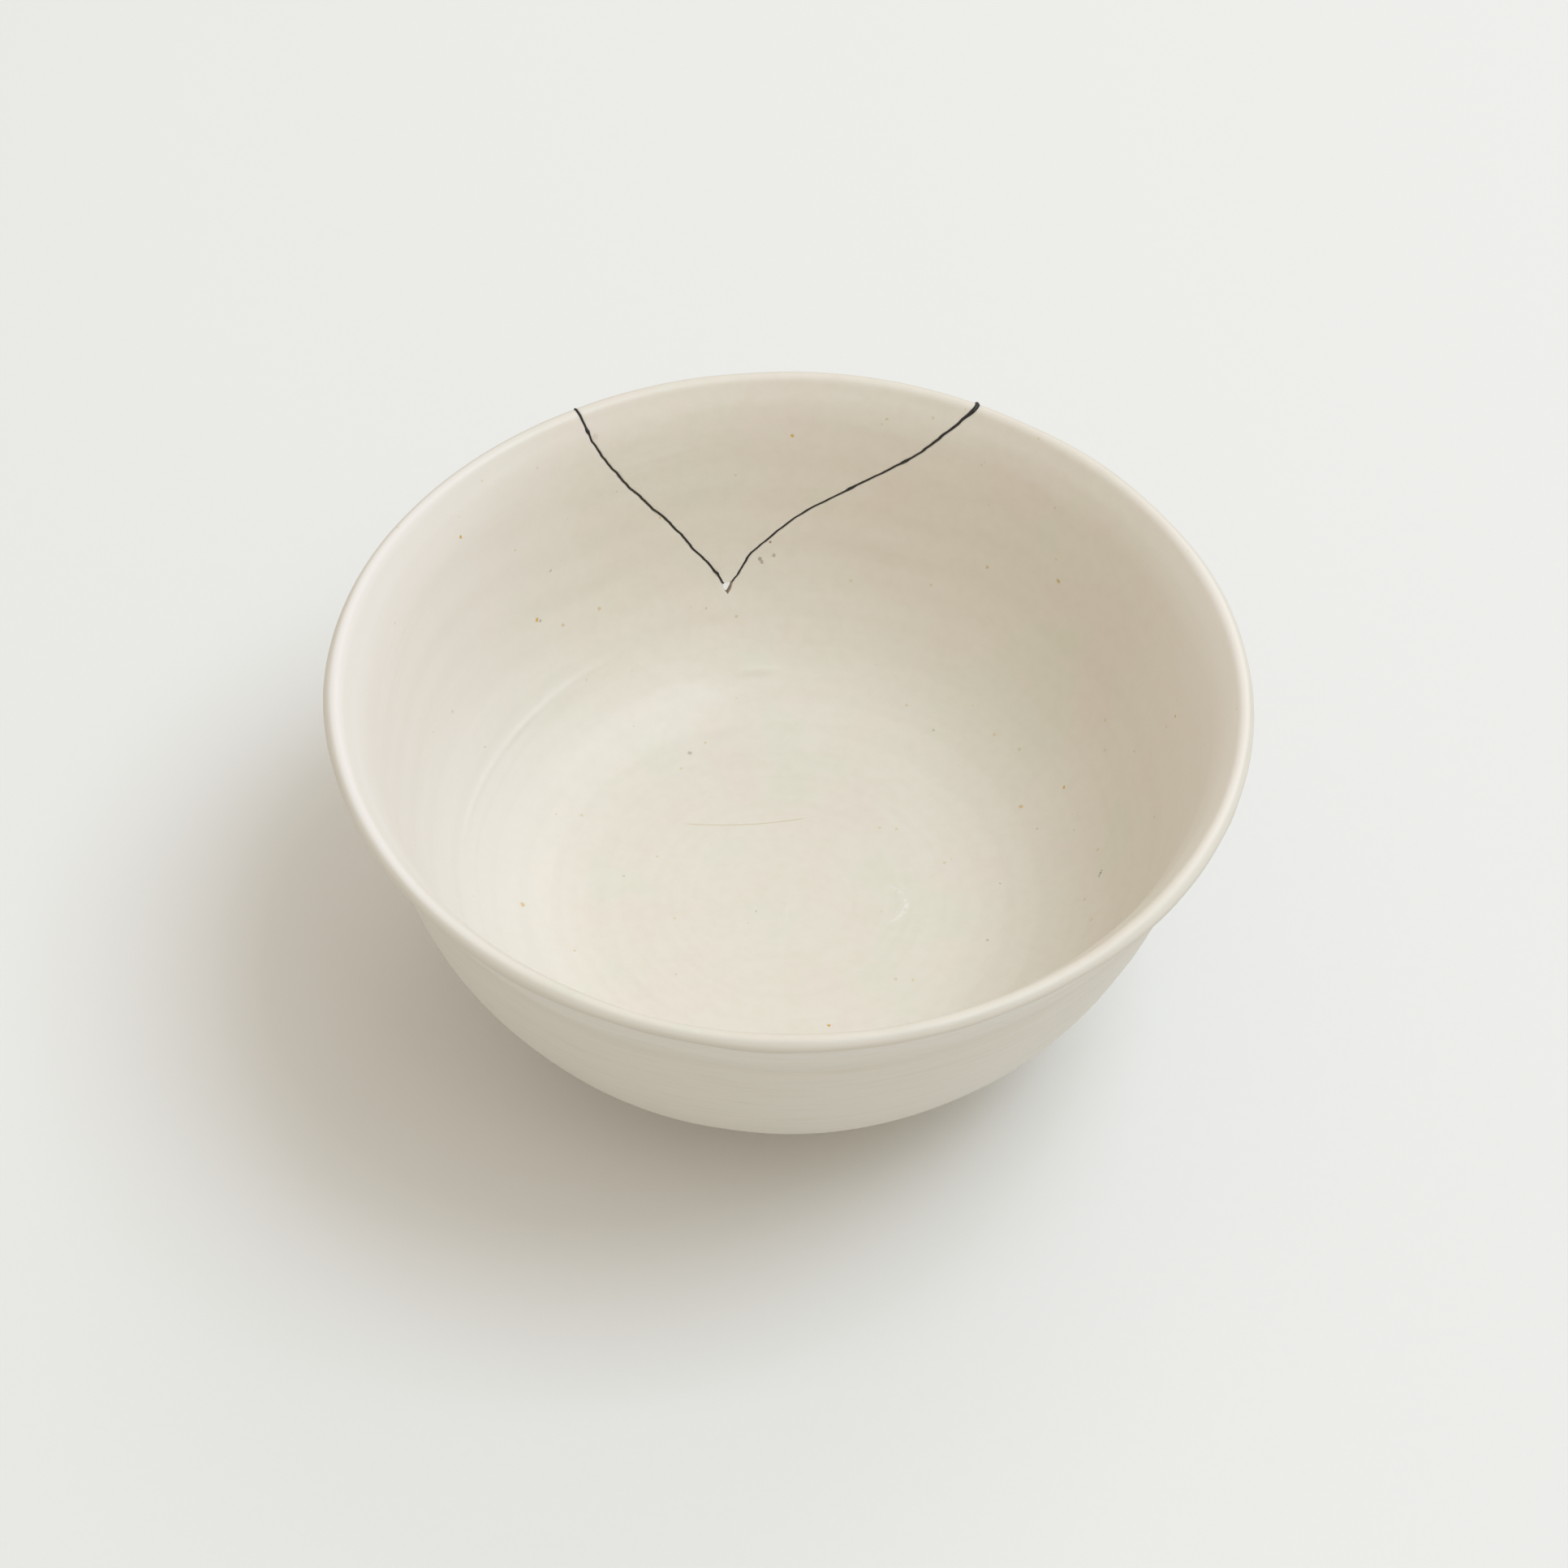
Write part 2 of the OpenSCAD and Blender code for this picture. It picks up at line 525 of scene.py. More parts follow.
    def on_section(self, run: np.ndarray) -> tuple[np.ndarray, np.ndarray]:
        """Points and outward normals of the plain section.

        Args:
            run: Ways along the section.

        Returns:
            Radius and height, and the normal's two parts, on the last axis.
        """
        points = np.stack([np.interp(run, self.run, self.r), np.interp(run, self.run, self.z)], -1)
        normals = np.stack([np.interp(run, self.run, self.normal[:, k]) for k in (0, 1)], -1)
        return points, normals / np.linalg.norm(normals, axis=-1, keepdims=True)

    def relief(self, run: np.ndarray, turn: np.ndarray, spot: np.ndarray) -> np.ndarray:
        """Height of the marks of making above the plain section.

        Args:
            run: Ways along the section.
            turn: Angles round, in degrees.
            spot: The plain points, for the wander.

        Returns:
            Heights in millimetres.
        """
        crest_run, end_run = self.run[self.crest], self.run[-1]
        radius = np.hypot(spot[..., 0], spot[..., 1])
        slow, middling = self.slow.at(spot), self.middling.at(spot)
        uneven = 0.06 * slow + 0.02 * middling + 0.004 * self.quick.at(spot)
        height = ease(radius / 20) * uneven
        for rings in (FINE_RINGS, BROAD_RINGS):
            patchy = 1 - rings.patchiness * (1 - middling)
            wave = np.sin(TAU * run / rings.spacing - np.radians(turn) + rings.wander * slow)
            height += rings.height(run, crest_run, end_run) * patchy * wave
        for ridge in self.ridges:
            away = (turn - ridge.turn + 180) % 360 - 180
            size = ridge.height * bell((away / ridge.spread) ** 2, 0, 1) * (1 + 0.35 * middling)
            height += size * bell(run, ridge.run + 0.25 * slow, ridge.width)
        on_floor = (run < crest_run) & (radius < 30)
        height += np.where(on_floor, self.dent.relief(spot[..., 0], spot[..., 1]), 0)
        return height

    def place(self, run: Number, turn: Number, lift: Number = 0.0) -> np.ndarray:
        """Points on the clay, or a little above it.

        Args:
            run: Ways along the section.
            turn: Angles round, in degrees.
            lift: Height above the glaze.

        Returns:
            x, y and z in millimetres, on the last axis.
        """
        run, turn, lift = np.broadcast_arrays(
            np.asarray(run, float), np.asarray(turn, float), np.asarray(lift, float)
        )
        flat, normal = self.on_section(run)
        left, back = -np.sin(np.radians(turn)), np.cos(np.radians(turn))
        spot = np.stack([flat[..., 0] * left, flat[..., 0] * back, flat[..., 1]], -1)
        height = self.relief(run, turn, spot) + lift
        r = flat[..., 0] + height * normal[..., 0]
        z = flat[..., 1] + height * normal[..., 1]
        r = r + self.out_of_round.at(np.arctan2(back, left), z, self.section.height)
        rise = self.rim_rise * np.cos(2 * np.radians(turn) + self.rise_turn)
        z = z + rise * ease((z - 20) / 50)
        z = np.maximum(z, 0)
        return np.stack([r * left, r * back, z], -1)

    def spread(self, start: float, end: float, spacing: float) -> np.ndarray:
        """Runs from start to end, closer together where the section bends.

        Args:
            start: First run.
            end: Last run.
            spacing: Distance between neighbours on a straight stretch.

        Returns:
            The runs, both ends included.
        """
        low, high = np.interp([start, end], self.run, self.cost)
        count = max(2, int(round((high - low) / spacing)) + 1)
        return np.interp(np.linspace(low, high, count), self.cost, self.run)

    def levels(self, lowest: float, spacing: float) -> np.ndarray:
        """Climbs from a lowest one up to the crest, so that inside and outside rows match.

        Args:
            lowest: The lowest climb.
            spacing: Most distance between neighbours on either face.

        Returns:
            The climbs, the crest's last.
        """
        top = self.climb[self.crest]
        fine = top - (top - lowest) * np.linspace(1, 0, 4000) ** 2
        costs = [
            np.abs(np.diff(np.interp(find(fine), self.run, self.cost)))
            for find in (self.run_inside, self.run_outside)
        ]
        total = np.concatenate([[0], np.cumsum(np.maximum(*costs))])
        count = int(round(total[-1] / spacing)) + 1
        return np.interp(np.linspace(0, total[-1], count), total, fine)


# ---------------------------------------------------------------- the breaks


@dataclass(frozen=True)
class Blob:
    """A thicker place in a line of glue, a certain way below the lip's top."""

    drop: float
    length: float
    wider: float
    higher: float


@dataclass(frozen=True)
class Break:
    """One of the two lines along which the sherd broke out.

    `line` goes from above the lip down to the lost point's corner. Each entry is the
    angle round from the back towards the left, and the way below the lip's top. `jag`
    holds the length and height of each wave of the jagged edge, and `wall_lean` how much
    longer the leaning wall is than the climb up it.
    """

    name: str
    line: tuple[tuple[float, float], ...]
    seed: int
    glue_width: float
    glue_height: float
    blobs: tuple[Blob, ...]
    gap: float = 0.4
    wall_lean: float = 1.15
    jag: tuple[tuple[float, float], ...] = ((6.1, 0.06), (2.9, 0.04), (1.6, 0.03))

    def wobble(self, climb: Number, extra: int = 0, size: float = 1.0) -> Number:
        """Jagged wander of the line to the side, in millimetres.

        Args:
            climb: Climbs from the focus.
            extra: Chooses another wander of the same kind.
            size: Its size against the line's own.

        Returns:
            The wander for each climb.
        """
        draw = np.random.default_rng(self.seed + 31 * extra)
        total = 0 * climb
        for length, height in self.jag:
            total = total + height * np.sin(TAU * climb * 70 / length + draw.uniform(0, TAU))
        return size * total

    def turn_at(self, clay: Clay, climb: Number) -> Number:
        """Where the middle of the break is.

        Args:
            clay: The thrown form.
            climb: Climbs from the focus.

        Returns:
            The angle round for each climb, in degrees.
        """
        turns = np.array([t for t, _ in self.line])
        climbs = clay.climb_at_drop([d for _, d in self.line])
        plain = np.interp(climb, climbs[::-1], turns[::-1])
        return plain + self.wobble(climb) * 57.3 / 68

    def side_stretch(self, clay: Clay, climb: Number) -> Number:
        """How much wider the break is measured level than measured across its own line.

        Args:
            clay: The thrown form.
            climb: Climbs from the focus.

        Returns:
            The ratio for each climb.
        """
        reach = 0.02
        climb = np.minimum(climb, clay.climb[clay.crest] - 0.01)
        turns = np.array([t for t, _ in self.line])
        climbs = clay.climb_at_drop([d for _, d in self.line])
        ends = [np.interp(climb + k * reach, climbs[::-1], turns[::-1]) for k in (-1, 1)]
        across = np.radians(ends[1] - ends[0]) * CLIMB
        up = 2 * reach * CLIMB * self.wall_lean
        return np.hypot(across, up) / up

    def shift(self, clay: Clay, climb: Number, distance: Number, radius: Number) -> Number:
        """Degrees round the bowl for a distance in millimetres to the side of the break."""
        return np.degrees(distance * self.side_stretch(clay, climb) / radius)


LEFT_BREAK = Break(
    name="left",
    line=((31.3, -6), (31.3, 0), (30.9, 1.5), (30.7, 3), (30.5, 4.5), (29.9, 6.7),
          (28.5, 10.2), (27, 13.6), (25.9, 15.8), (24.2, 18.7), (22.3, 22), (20.6, 24.5),
          (18.3, 28.4), (16.5, 31.8), (14.4, 34.8), (12.8, 37.2), (11.9, 39.3), (11.2, 41.2)),
    seed=11,
    glue_width=0.31,
    glue_height=0.07,
    blobs=(Blob(0.3, 0.8, 0.10, 0.12), Blob(2.9, 0.40, 0.45, 0.20), Blob(37.1, 0.6, 0.45, 0.20),
           Blob(22.5, 0.6, 0.06, 0.06), Blob(12.6, 0.5, 0.05, 0.05)),
)
RIGHT_BREAK = Break(
    name="right",
    line=((-25.9, -6), (-25.6, 0), (-24.6, 1.5), (-22.4, 4.7), (-20.4, 7.8), (-18, 11),
          (-15.6, 13.6), (-12, 17.1), (-8.9, 19.9), (-5.5, 22.8), (-2.6, 25.1), (-0.1, 27.2),
          (3.7, 31), (6.9, 34), (8.1, 35.9), (9.4, 38), (10.2, 39), (11.2, 41.2)),
    seed=23,
    glue_width=0.35,
    glue_height=0.08,
    blobs=(Blob(0.7, 0.9, 0.46, 0.22), Blob(5.5, 3.2, 0.14, 0.06), Blob(12.3, 0.6, 0.32, 0.14),
           Blob(19.9, 0.5, 0.34, 0.14), Blob(34.0, 0.8, 0.10, 0.06), Blob(31.8, 0.4, 0.08, 0.05)),
)


# ---------------------------------------------------------------- skins


class Skin:
    """Collects the points and faces of one closed mesh."""

    def __init__(self) -> None:
        """Starts with nothing."""
        self.blocks: list[np.ndarray] = []
        self.count = 0
        self.faces: list[tuple[int, ...]] = []
        self.finishes: list[int] = []

    def points(self, places: np.ndarray) -> np.ndarray:
        """Adds points.

        Args:
            places: The points, in millimetres, with x, y and z on the last axis.

        Returns:
            Their numbers, in the shape of the array.
        """
        shape = places.shape[:-1]
        flat = places.reshape(-1, 3)
        numbers = np.arange(self.count, self.count + len(flat)).reshape(shape)
        self.blocks.append(flat)
        self.count += len(flat)
        return numbers

    def face(self, corners: Sequence[int], finish: int) -> None:
        """Adds one face, leaving out corners that fall together.

        Args:
            corners: Point numbers round the face.
            finish: Number of its material.
        """
        kept = [c for k, c in enumerate(corners) if c != corners[k - 1]]
        if len(set(kept)) == len(kept) >= 3:
            self.faces.append(tuple(kept))
            self.finishes.append(finish)

    def sheet(self, grid: np.ndarray, finish: int = 0) -> None:
        """Adds the faces between the neighbours of a grid.

        Args:
            grid: Point numbers.
            finish: Number of the faces' material.
        """
        corners = np.stack([grid[:-1, :-1], grid[1:, :-1], grid[1:, 1:], grid[:-1, 1:]], -1)
        for quad in corners.reshape(-1, 4).tolist():
            self.face(quad, finish)

    def piece(self, name: str, finishes: Sequence[bpy.types.Material],
              sharp: float = 38.0) -> bpy.types.Object:
        """Makes the mesh and its object.

        Args:
            name: Name of the piece.
            finishes: Its materials, in the order that the faces name them.
            sharp: Edges that bend more than this many degrees stay crisp.

        Returns:
            The new object, in metres.
        """
        mesh = bpy.data.meshes.new(name)
        places = np.concatenate(self.blocks) * MM
        mesh.from_pydata(places.tolist(), [], self.faces)
        for finish in finishes:
            mesh.materials.append(finish)
        mesh.polygons.foreach_set("material_index", self.finishes)
        work = bmesh.new()
        work.from_mesh(mesh)
        loose = [v for v in work.verts if not v.link_faces]
        bmesh.ops.delete(work, geom=loose, context="VERTS")
        bmesh.ops.recalc_face_normals(work, faces=work.faces)
        work.to_mesh(mesh)
        work.free()
        mesh.shade_smooth()
        mesh.set_sharp_from_angle(angle=math.radians(sharp))
        mesh.update()
        thing = bpy.data.objects.new(name, mesh)
        bpy.context.scene.collection.objects.link(thing)
        return thing


def columns(count: int, both_ends: bool = True) -> np.ndarray:
    """Shares from 0 to 1 with extra ones close to the ends, where a break's edge is worn.

    Args:
        count: How many even steps there are.
        both_ends: Whether the far end gets extra ones too.

    Returns:
        The shares, both ends included.
    """
    near = np.array([0, 0.1, 0.3, 0.65])
    middle = np.arange(1, count)
    far = count - near[::-1] if both_ends else np.array([count])
    return np.concatenate([near, middle, far]) / count


@dataclass
class BrokenFaces:
    """The rough faces of a break, laid between an inner and an outer edge.

    `edge_reach` is the width over which a face that narrows to nothing turns smooth.
    """

    steps: int = 5
    roughness: float = 0.07
    grain: float = 2.1
    fine_grain: float = 1.0
    edge_reach: float = 1.5

    def between(self, skin: Skin, inner: np.ndarray, outer: np.ndarray,
                inner_at: np.ndarray, outer_at: np.ndarray, side: np.ndarray,
                shared: Optional[np.ndarray] = None) -> np.ndarray:
        """Adds the points and faces of one broken face.

        Args:
            skin: The mesh that it belongs to.
            inner: Point numbers of the inner edge.
            outer: Point numbers of the outer edge.
            inner_at: Places of the inner edge.
            outer_at: Places of the outer edge.
            side: Direction in which the face is rough, for each place.
            shared: Point numbers of the first row, where another face has them.

        Returns:
            The grid of point numbers.
        """
        share = np.linspace(0, 1, self.steps + 1)[None, 1:-1, None]
        places = inner_at[:, None] * (1 - share) + outer_at[:, None] * share
        grain = Drift(19, self.grain).at(places) + 0.6 * Drift(20, self.fine_grain).at(places)
        width = np.linalg.norm(outer_at - inner_at, axis=1)[:, None]
        fade = ease(width / self.edge_reach) * np.sin(math.pi * share[..., 0])
        places = places + (self.roughness * grain * fade)[..., None] * side[:, None]
        grid = np.empty((len(inner), self.steps + 1), int)
        grid[:, 0] = inner
        grid[:, -1] = outer
        grid[:, 1:-1] = skin.points(places)
        if shared is not None:
            grid[0] = shared
        closed = inner == outer
        grid[closed] = inner[closed][:, None]
        skin.sheet(grid, finish=1)
        return grid


def sideways(places: np.ndarray) -> np.ndarray:
    """Unit vectors round the bowl's axis at places on it."""
    round_way = np.stack([-places[:, 1], places[:, 0], 0 * places[:, 0]], 1)
    return round_way / np.linalg.norm(round_way, axis=1, keepdims=True)


# ---------------------------------------------------------------- the pieces


@dataclass
class ThrownBowl:
    """The bowl without the sherd: floor, wall, lip and foot, with the notch of the break.

    The skin has `around` steps round it, and three spacings of its rows: inside below the
    notch, beside the notch, and outside below the notch. The columns lean towards the
    notch's edges over `reach` degrees. `wear` is the share of the worn edge's depth at the
    notch's edge and a little way in.
    """

    clay: Clay
    left: Break
    right: Break
    tip_turn: float = 11.2
    tip_drop: float = 41.2
    around: int = 226
    row: float = 0.64
    notch_row: float = 0.60
    outer_row: float = 1.1
    reach: float = 125.0
    worn_edge: float = 0.12
    wear: tuple[float, ...] = (1.0, 0.25)
    tip_rounding: float = 0.8

    def rows(self) -> tuple[np.ndarray, np.ndarray, int, int]:
        """Every row of the skin.

        Returns:
            The rows' runs, their climbs (the tip's below the notch), and the numbers of
            the inner and the outer row at the notch's tip.
        """
        clay = self.clay
        tip = float(clay.climb_at_drop([self.tip_drop])[0])
        levels = clay.levels(tip, self.notch_row)
        inner, outer = clay.run_inside(levels), clay.run_outside(levels)
        below = clay.spread(0, inner[0], self.row)[:-1]
        under = clay.spread(outer[0], clay.run[-1], self.outer_row)[1:]
        runs = np.concatenate([below, inner, outer[-2::-1], under])
        climbs = np.concatenate([np.full(len(below), tip), levels, levels[-2::-1],
                                 np.full(len(under), tip)])
        first = len(below)
        last = first + 2 * len(levels) - 2
        return runs, climbs, first, last

    def build(self, glaze: bpy.types.Material, raw: bpy.types.Material) -> bpy.types.Object:
        """Makes the bowl.

        Args:
            glaze: Finish of the glazed faces.
            raw: Finish of the broken faces.

        Returns:
            The piece.
        """
        clay = self.clay
        runs, climbs, first, last = self.rows()
        radius = np.maximum(np.interp(runs, clay.run, clay.r), 1)
        notch = np.zeros(len(runs))
        notch[first:last + 1] = 1
        notch[[first, last]] = 0
        opening = ease((climbs - climbs[0]) * CLIMB / self.tip_rounding)
        left = self.left.turn_at(clay, climbs) + self.left.shift(
            clay, climbs, self.left.gap / 2, radius)
        right = self.right.turn_at(clay, climbs) - self.right.shift(
            clay, climbs, self.right.gap / 2, radius)
        left = np.where(notch > 0, self.tip_turn + (left - self.tip_turn) * opening, self.tip_turn)
        right = np.where(notch > 0, self.tip_turn + (right - self.tip_turn) * opening,
                         self.tip_turn)
        shares = columns(self.around)
        turn = self.tip_turn + 360 * shares[None, :]
        from_left = 1 - ease(360 * shares[None, :] / self.reach)
        from_right = 1 - ease(360 * (1 - shares[None, :]) / self.reach)
        turn = turn + (left - self.tip_turn)[:, None] * from_left
        turn = turn + (right - self.tip_turn)[:, None] * from_right
        worn = np.zeros_like(turn)
        depth = self.worn_edge * opening * notch
        for k, share in enumerate(self.wear):
            worn[:, k] = -depth * share
            worn[:, -1 - k] = -depth * share
        run = np.broadcast_to(runs[:, None], turn.shape)
        places = clay.place(run, turn, worn)
        skin = Skin()
        grid = skin.points(places)
        closed = notch == 0
        grid[closed, -1] = grid[closed, 0]
        grid[0, :] = grid[0, 0]
        grid[-1, :] = grid[-1, 0]
        skin.sheet(grid)
        faces = BrokenFaces()
        inner = np.arange(first, (first + last) // 2 + 1)
        outer = np.arange(last, (first + last) // 2 - 1, -1)
        shared = None
        for column in (0, -1):
            a, b = places[inner, column], places[outer, column]
            a[0], b[0] = places[first, 0], places[last, 0]
            strip = faces.between(skin, grid[inner, column], grid[outer, column], a, b,
                                  sideways((a + b) / 2), shared)
            shared = strip[0]
        return skin.piece("thrown_bowl", [glaze, raw])


@dataclass
class MendedSherd:
    """The wedge-shaped sherd, glued back a hair too deep along its left edge.

    It is level with the bowl again towards its top and its bottom, over a few millimetres.
    """

    clay: Clay
    left: Break
    right: Break
    left_drop: float = 39.3
    right_drop: float = 39.0
    across: int = 54
    row: float = 0.60
    worn_edge: float = 0.07
    wear: tuple[float, ...] = (1.0, 0.25)
    too_deep: float = 0.11
    too_deep_reach: float = 3.5
    level_again_top: float = 6.0
    level_again_bottom: float = 3.0

    def build(self, glaze: bpy.types.Material, raw: bpy.types.Material) -> bpy.types.Object:
        """Makes the sherd.

        Args:
            glaze: Finish of the glazed faces.
            raw: Finish of the broken faces.

        Returns:
            The piece.
        """
        clay = self.clay
        ends = clay.climb_at_drop([self.left_drop, self.right_drop])
        levels = clay.levels(float(ends.min()), self.row)
        shares = columns(self.across)
        chip = ends[1] + (ends[0] - ends[1]) * shares
        chip = chip + 0.0012 * np.sin(9 * shares + 1) + 0.0008 * np.sin(23 * shares)
        up = ((levels - levels[0]) / (levels[-1] - levels[0]))[:, None]
        climb = chip[None, :] + up * (levels[-1] - chip[None, :])
        grids, edges = [], []
        skin = Skin()
        for find in (clay.run_inside, clay.run_outside):
            run = find(climb)
            radius = np.interp(run, clay.run, clay.r)
            low = self.right.turn_at(clay, climb) + self.right.shift(
                clay, climb, self.right.gap / 2, radius)
            high = self.left.turn_at(clay, climb) - self.left.shift(
                clay, climb, self.left.gap / 2, radius)
            turn = low + (high - low) * shares[None, :]
            to_left = np.radians(high - turn) * radius
            stretch = ease((levels[-1] - climb) * CLIMB / self.level_again_top)
            stretch = stretch * ease((climb - levels[0]) * CLIMB / self.level_again_bottom)
            lift = -self.too_deep * np.exp(-to_left / self.too_deep_reach) * stretch
            for k, share in enumerate(self.wear):
                lift[:, k] -= self.worn_edge * share
                lift[:, -1 - k] -= self.worn_edge * share
            places = clay.place(run, turn, lift)
            if grids:
                places[-1] = edges[0][-1]
            grids.append(skin.points(places))
            edges.append(places)
        grids[1][-1] = grids[0][-1]
        skin.sheet(grids[0])
        skin.sheet(grids[1])
        faces = BrokenFaces()
        bottom = faces.between(skin, grids[0][0], grids[1][0], edges[0][0], edges[1][0],
                               np.tile([0.0, 0.0, 1.0], (len(shares), 1)))
        for column in (0, -1):
            a, b = edges[0][:, column], edges[1][:, column]
            faces.between(skin, grids[0][:, column], grids[1][:, column], a, b,
                          sideways((a + b) / 2), bottom[column])
        return skin.piece("mended_sherd", [glaze, raw])


@dataclass
class GlueLine:
    """The dried glue in one break: a thin sheet through the wall with a bead on each face.

    The sheet fills `core_share` of the gap. The two beads are alike at the crest of the
    lip and go their own ways over `top_merge` millimetres below it.
    """

    clay: Clay
    path: Break
    bottom_drop: float
    row: float = 0.42
    sunk: float = 0.03
    core_depth: float = 0.2
    core_share: float = 0.94
    least_reach: float = 0.1
    end_taper: float = 0.5
    top_merge: float = 1.2
    sides: tuple[float, ...] = (-1.0, -0.8, -0.4, 0.0, 0.4, 0.8, 1.0)

    def bead(self, climb: np.ndarray, extra: int) -> tuple[np.ndarray, np.ndarray, np.ndarray]:
        """Size of the bead along the line.

        Args:
            climb: Climbs from the focus.
            extra: Chooses the wander of this face's bead.

        Returns:
            Its reach to the left, its reach to the right, and its height.
        """
        path = self.path
        half = path.glue_width / 2 + 0 * climb
        high = path.glue_height + path.wobble(climb, 7 + extra, 0.25)
        for blob in path.blobs:
            at = float(self.clay.climb_at_drop([blob.drop])[0])
            size = bell((climb - at) * CLIMB, 0, blob.length)
            half = half + blob.wider / 2 * size
            high = high + blob.higher * size
        end = ease((climb - climb[0]) * CLIMB / self.end_taper)
        left = (half + path.wobble(climb, 3 + extra, 0.4)) * (0.55 + 0.45 * end)
        right = (half + path.wobble(climb, 5 + extra, 0.4)) * (0.55 + 0.45 * end)
        least = self.least_reach
        return np.maximum(left, least), np.maximum(right, least), np.maximum(high, 0.03) * end

    def build(self, glue: bpy.types.Material) -> bpy.types.Object:
        """Makes the line of glue.

        Args:
            glue: Its finish.

        Returns:
            The piece.
        """
        clay, path = self.clay, self.path
        lowest = float(clay.climb_at_drop([self.bottom_drop])[0])
        climb = clay.levels(lowest, self.row)
        middle = path.turn_at(clay, climb)
        shared = self.bead(climb, 0)
        below_crest = ease((clay.climb[clay.crest] - climb) * CLIMB / self.top_merge)
        loops = []
        for extra, find in enumerate((clay.run_inside, clay.run_outside)):
            run = find(climb)
            radius = np.interp(run, clay.run, clay.r)
            own = self.bead(climb, 2 * extra)
            left, right, high = (a + (b - a) * below_crest for a, b in zip(shared, own))
            rows = []
            for side in self.sides:
                reach = np.where(side < 0, right, left) * side
                lift = (high + self.sunk) * (1 - abs(side) ** 2.5) - self.sunk
                turn = middle + path.shift(clay, climb, reach, radius)
                rows.append(clay.place(run, turn, lift))
            core = []
            for side in (-1, 1):
                reach = side * self.core_share * path.gap / 2
                turn = middle + path.shift(clay, climb, reach, radius)
                core.append(clay.place(run, turn, -self.core_depth))
            loops.append([core[0]] + rows + [core[1]])
        ring = np.stack(loops[0] + loops[1][::-1], axis=1)
        width = len(loops[0])
        ring[-1, width:] = ring[-1, :width][::-1]
        skin = Skin()
        grid = skin.points(ring)
        grid[-1, width:] = grid[-1, :width][::-1]
        skin.sheet(np.concatenate([grid, grid[:, :1]], axis=1))
        for k in range(width - 1):
            skin.face([grid[0, k], grid[0, k + 1], grid[0, 2 * width - 2 - k],
                       grid[0, 2 * width - 1 - k]], 0)
        return skin.piece(f"glue_line_{path.name}", [glue], sharp=60)


# ---------------------------------------------------------------- finishes


class Wire:
    """One socket of a shader, which takes part in sums as a number does."""

    def __init__(self, tree: "NodeTree", socket: bpy.types.NodeSocket) -> None:
        """Wraps an output socket of a tree."""
        self.tree = tree
        self.socket = socket

    def __add__(self, other: "Value") -> "Wire":
        """The sum."""
        return self.tree.sum("ADD", self, other)

    __radd__ = __add__

    def __sub__(self, other: "Value") -> "Wire":
        """The difference."""
        return self.tree.sum("SUBTRACT", self, other)

    def __rsub__(self, other: "Value") -> "Wire":
        """The difference, the other way round."""
        return self.tree.sum("SUBTRACT", other, self)

    def __mul__(self, other: "Value") -> "Wire":
        """The product."""
        return self.tree.sum("MULTIPLY", self, other)

    __rmul__ = __mul__

    def __truediv__(self, other: "Value") -> "Wire":
        """The quotient."""
        return self.tree.sum("DIVIDE", self, other)

    def __rtruediv__(self, other: "Value") -> "Wire":
        """The quotient, the other way round."""
        return self.tree.sum("DIVIDE", other, self)

    def __lt__(self, other: "Value") -> "Wire":
        """1 where it is less, and 0 elsewhere."""
        return self.tree.sum("LESS_THAN", self, other)

    def __gt__(self, other: "Value") -> "Wire":
        """1 where it is more, and 0 elsewhere."""
        return self.tree.sum("GREATER_THAN", self, other)

    def __abs__(self) -> "Wire":
        """The size without the sign."""
        return self.tree.sum("ABSOLUTE", self)


Value = Union[Wire, float]


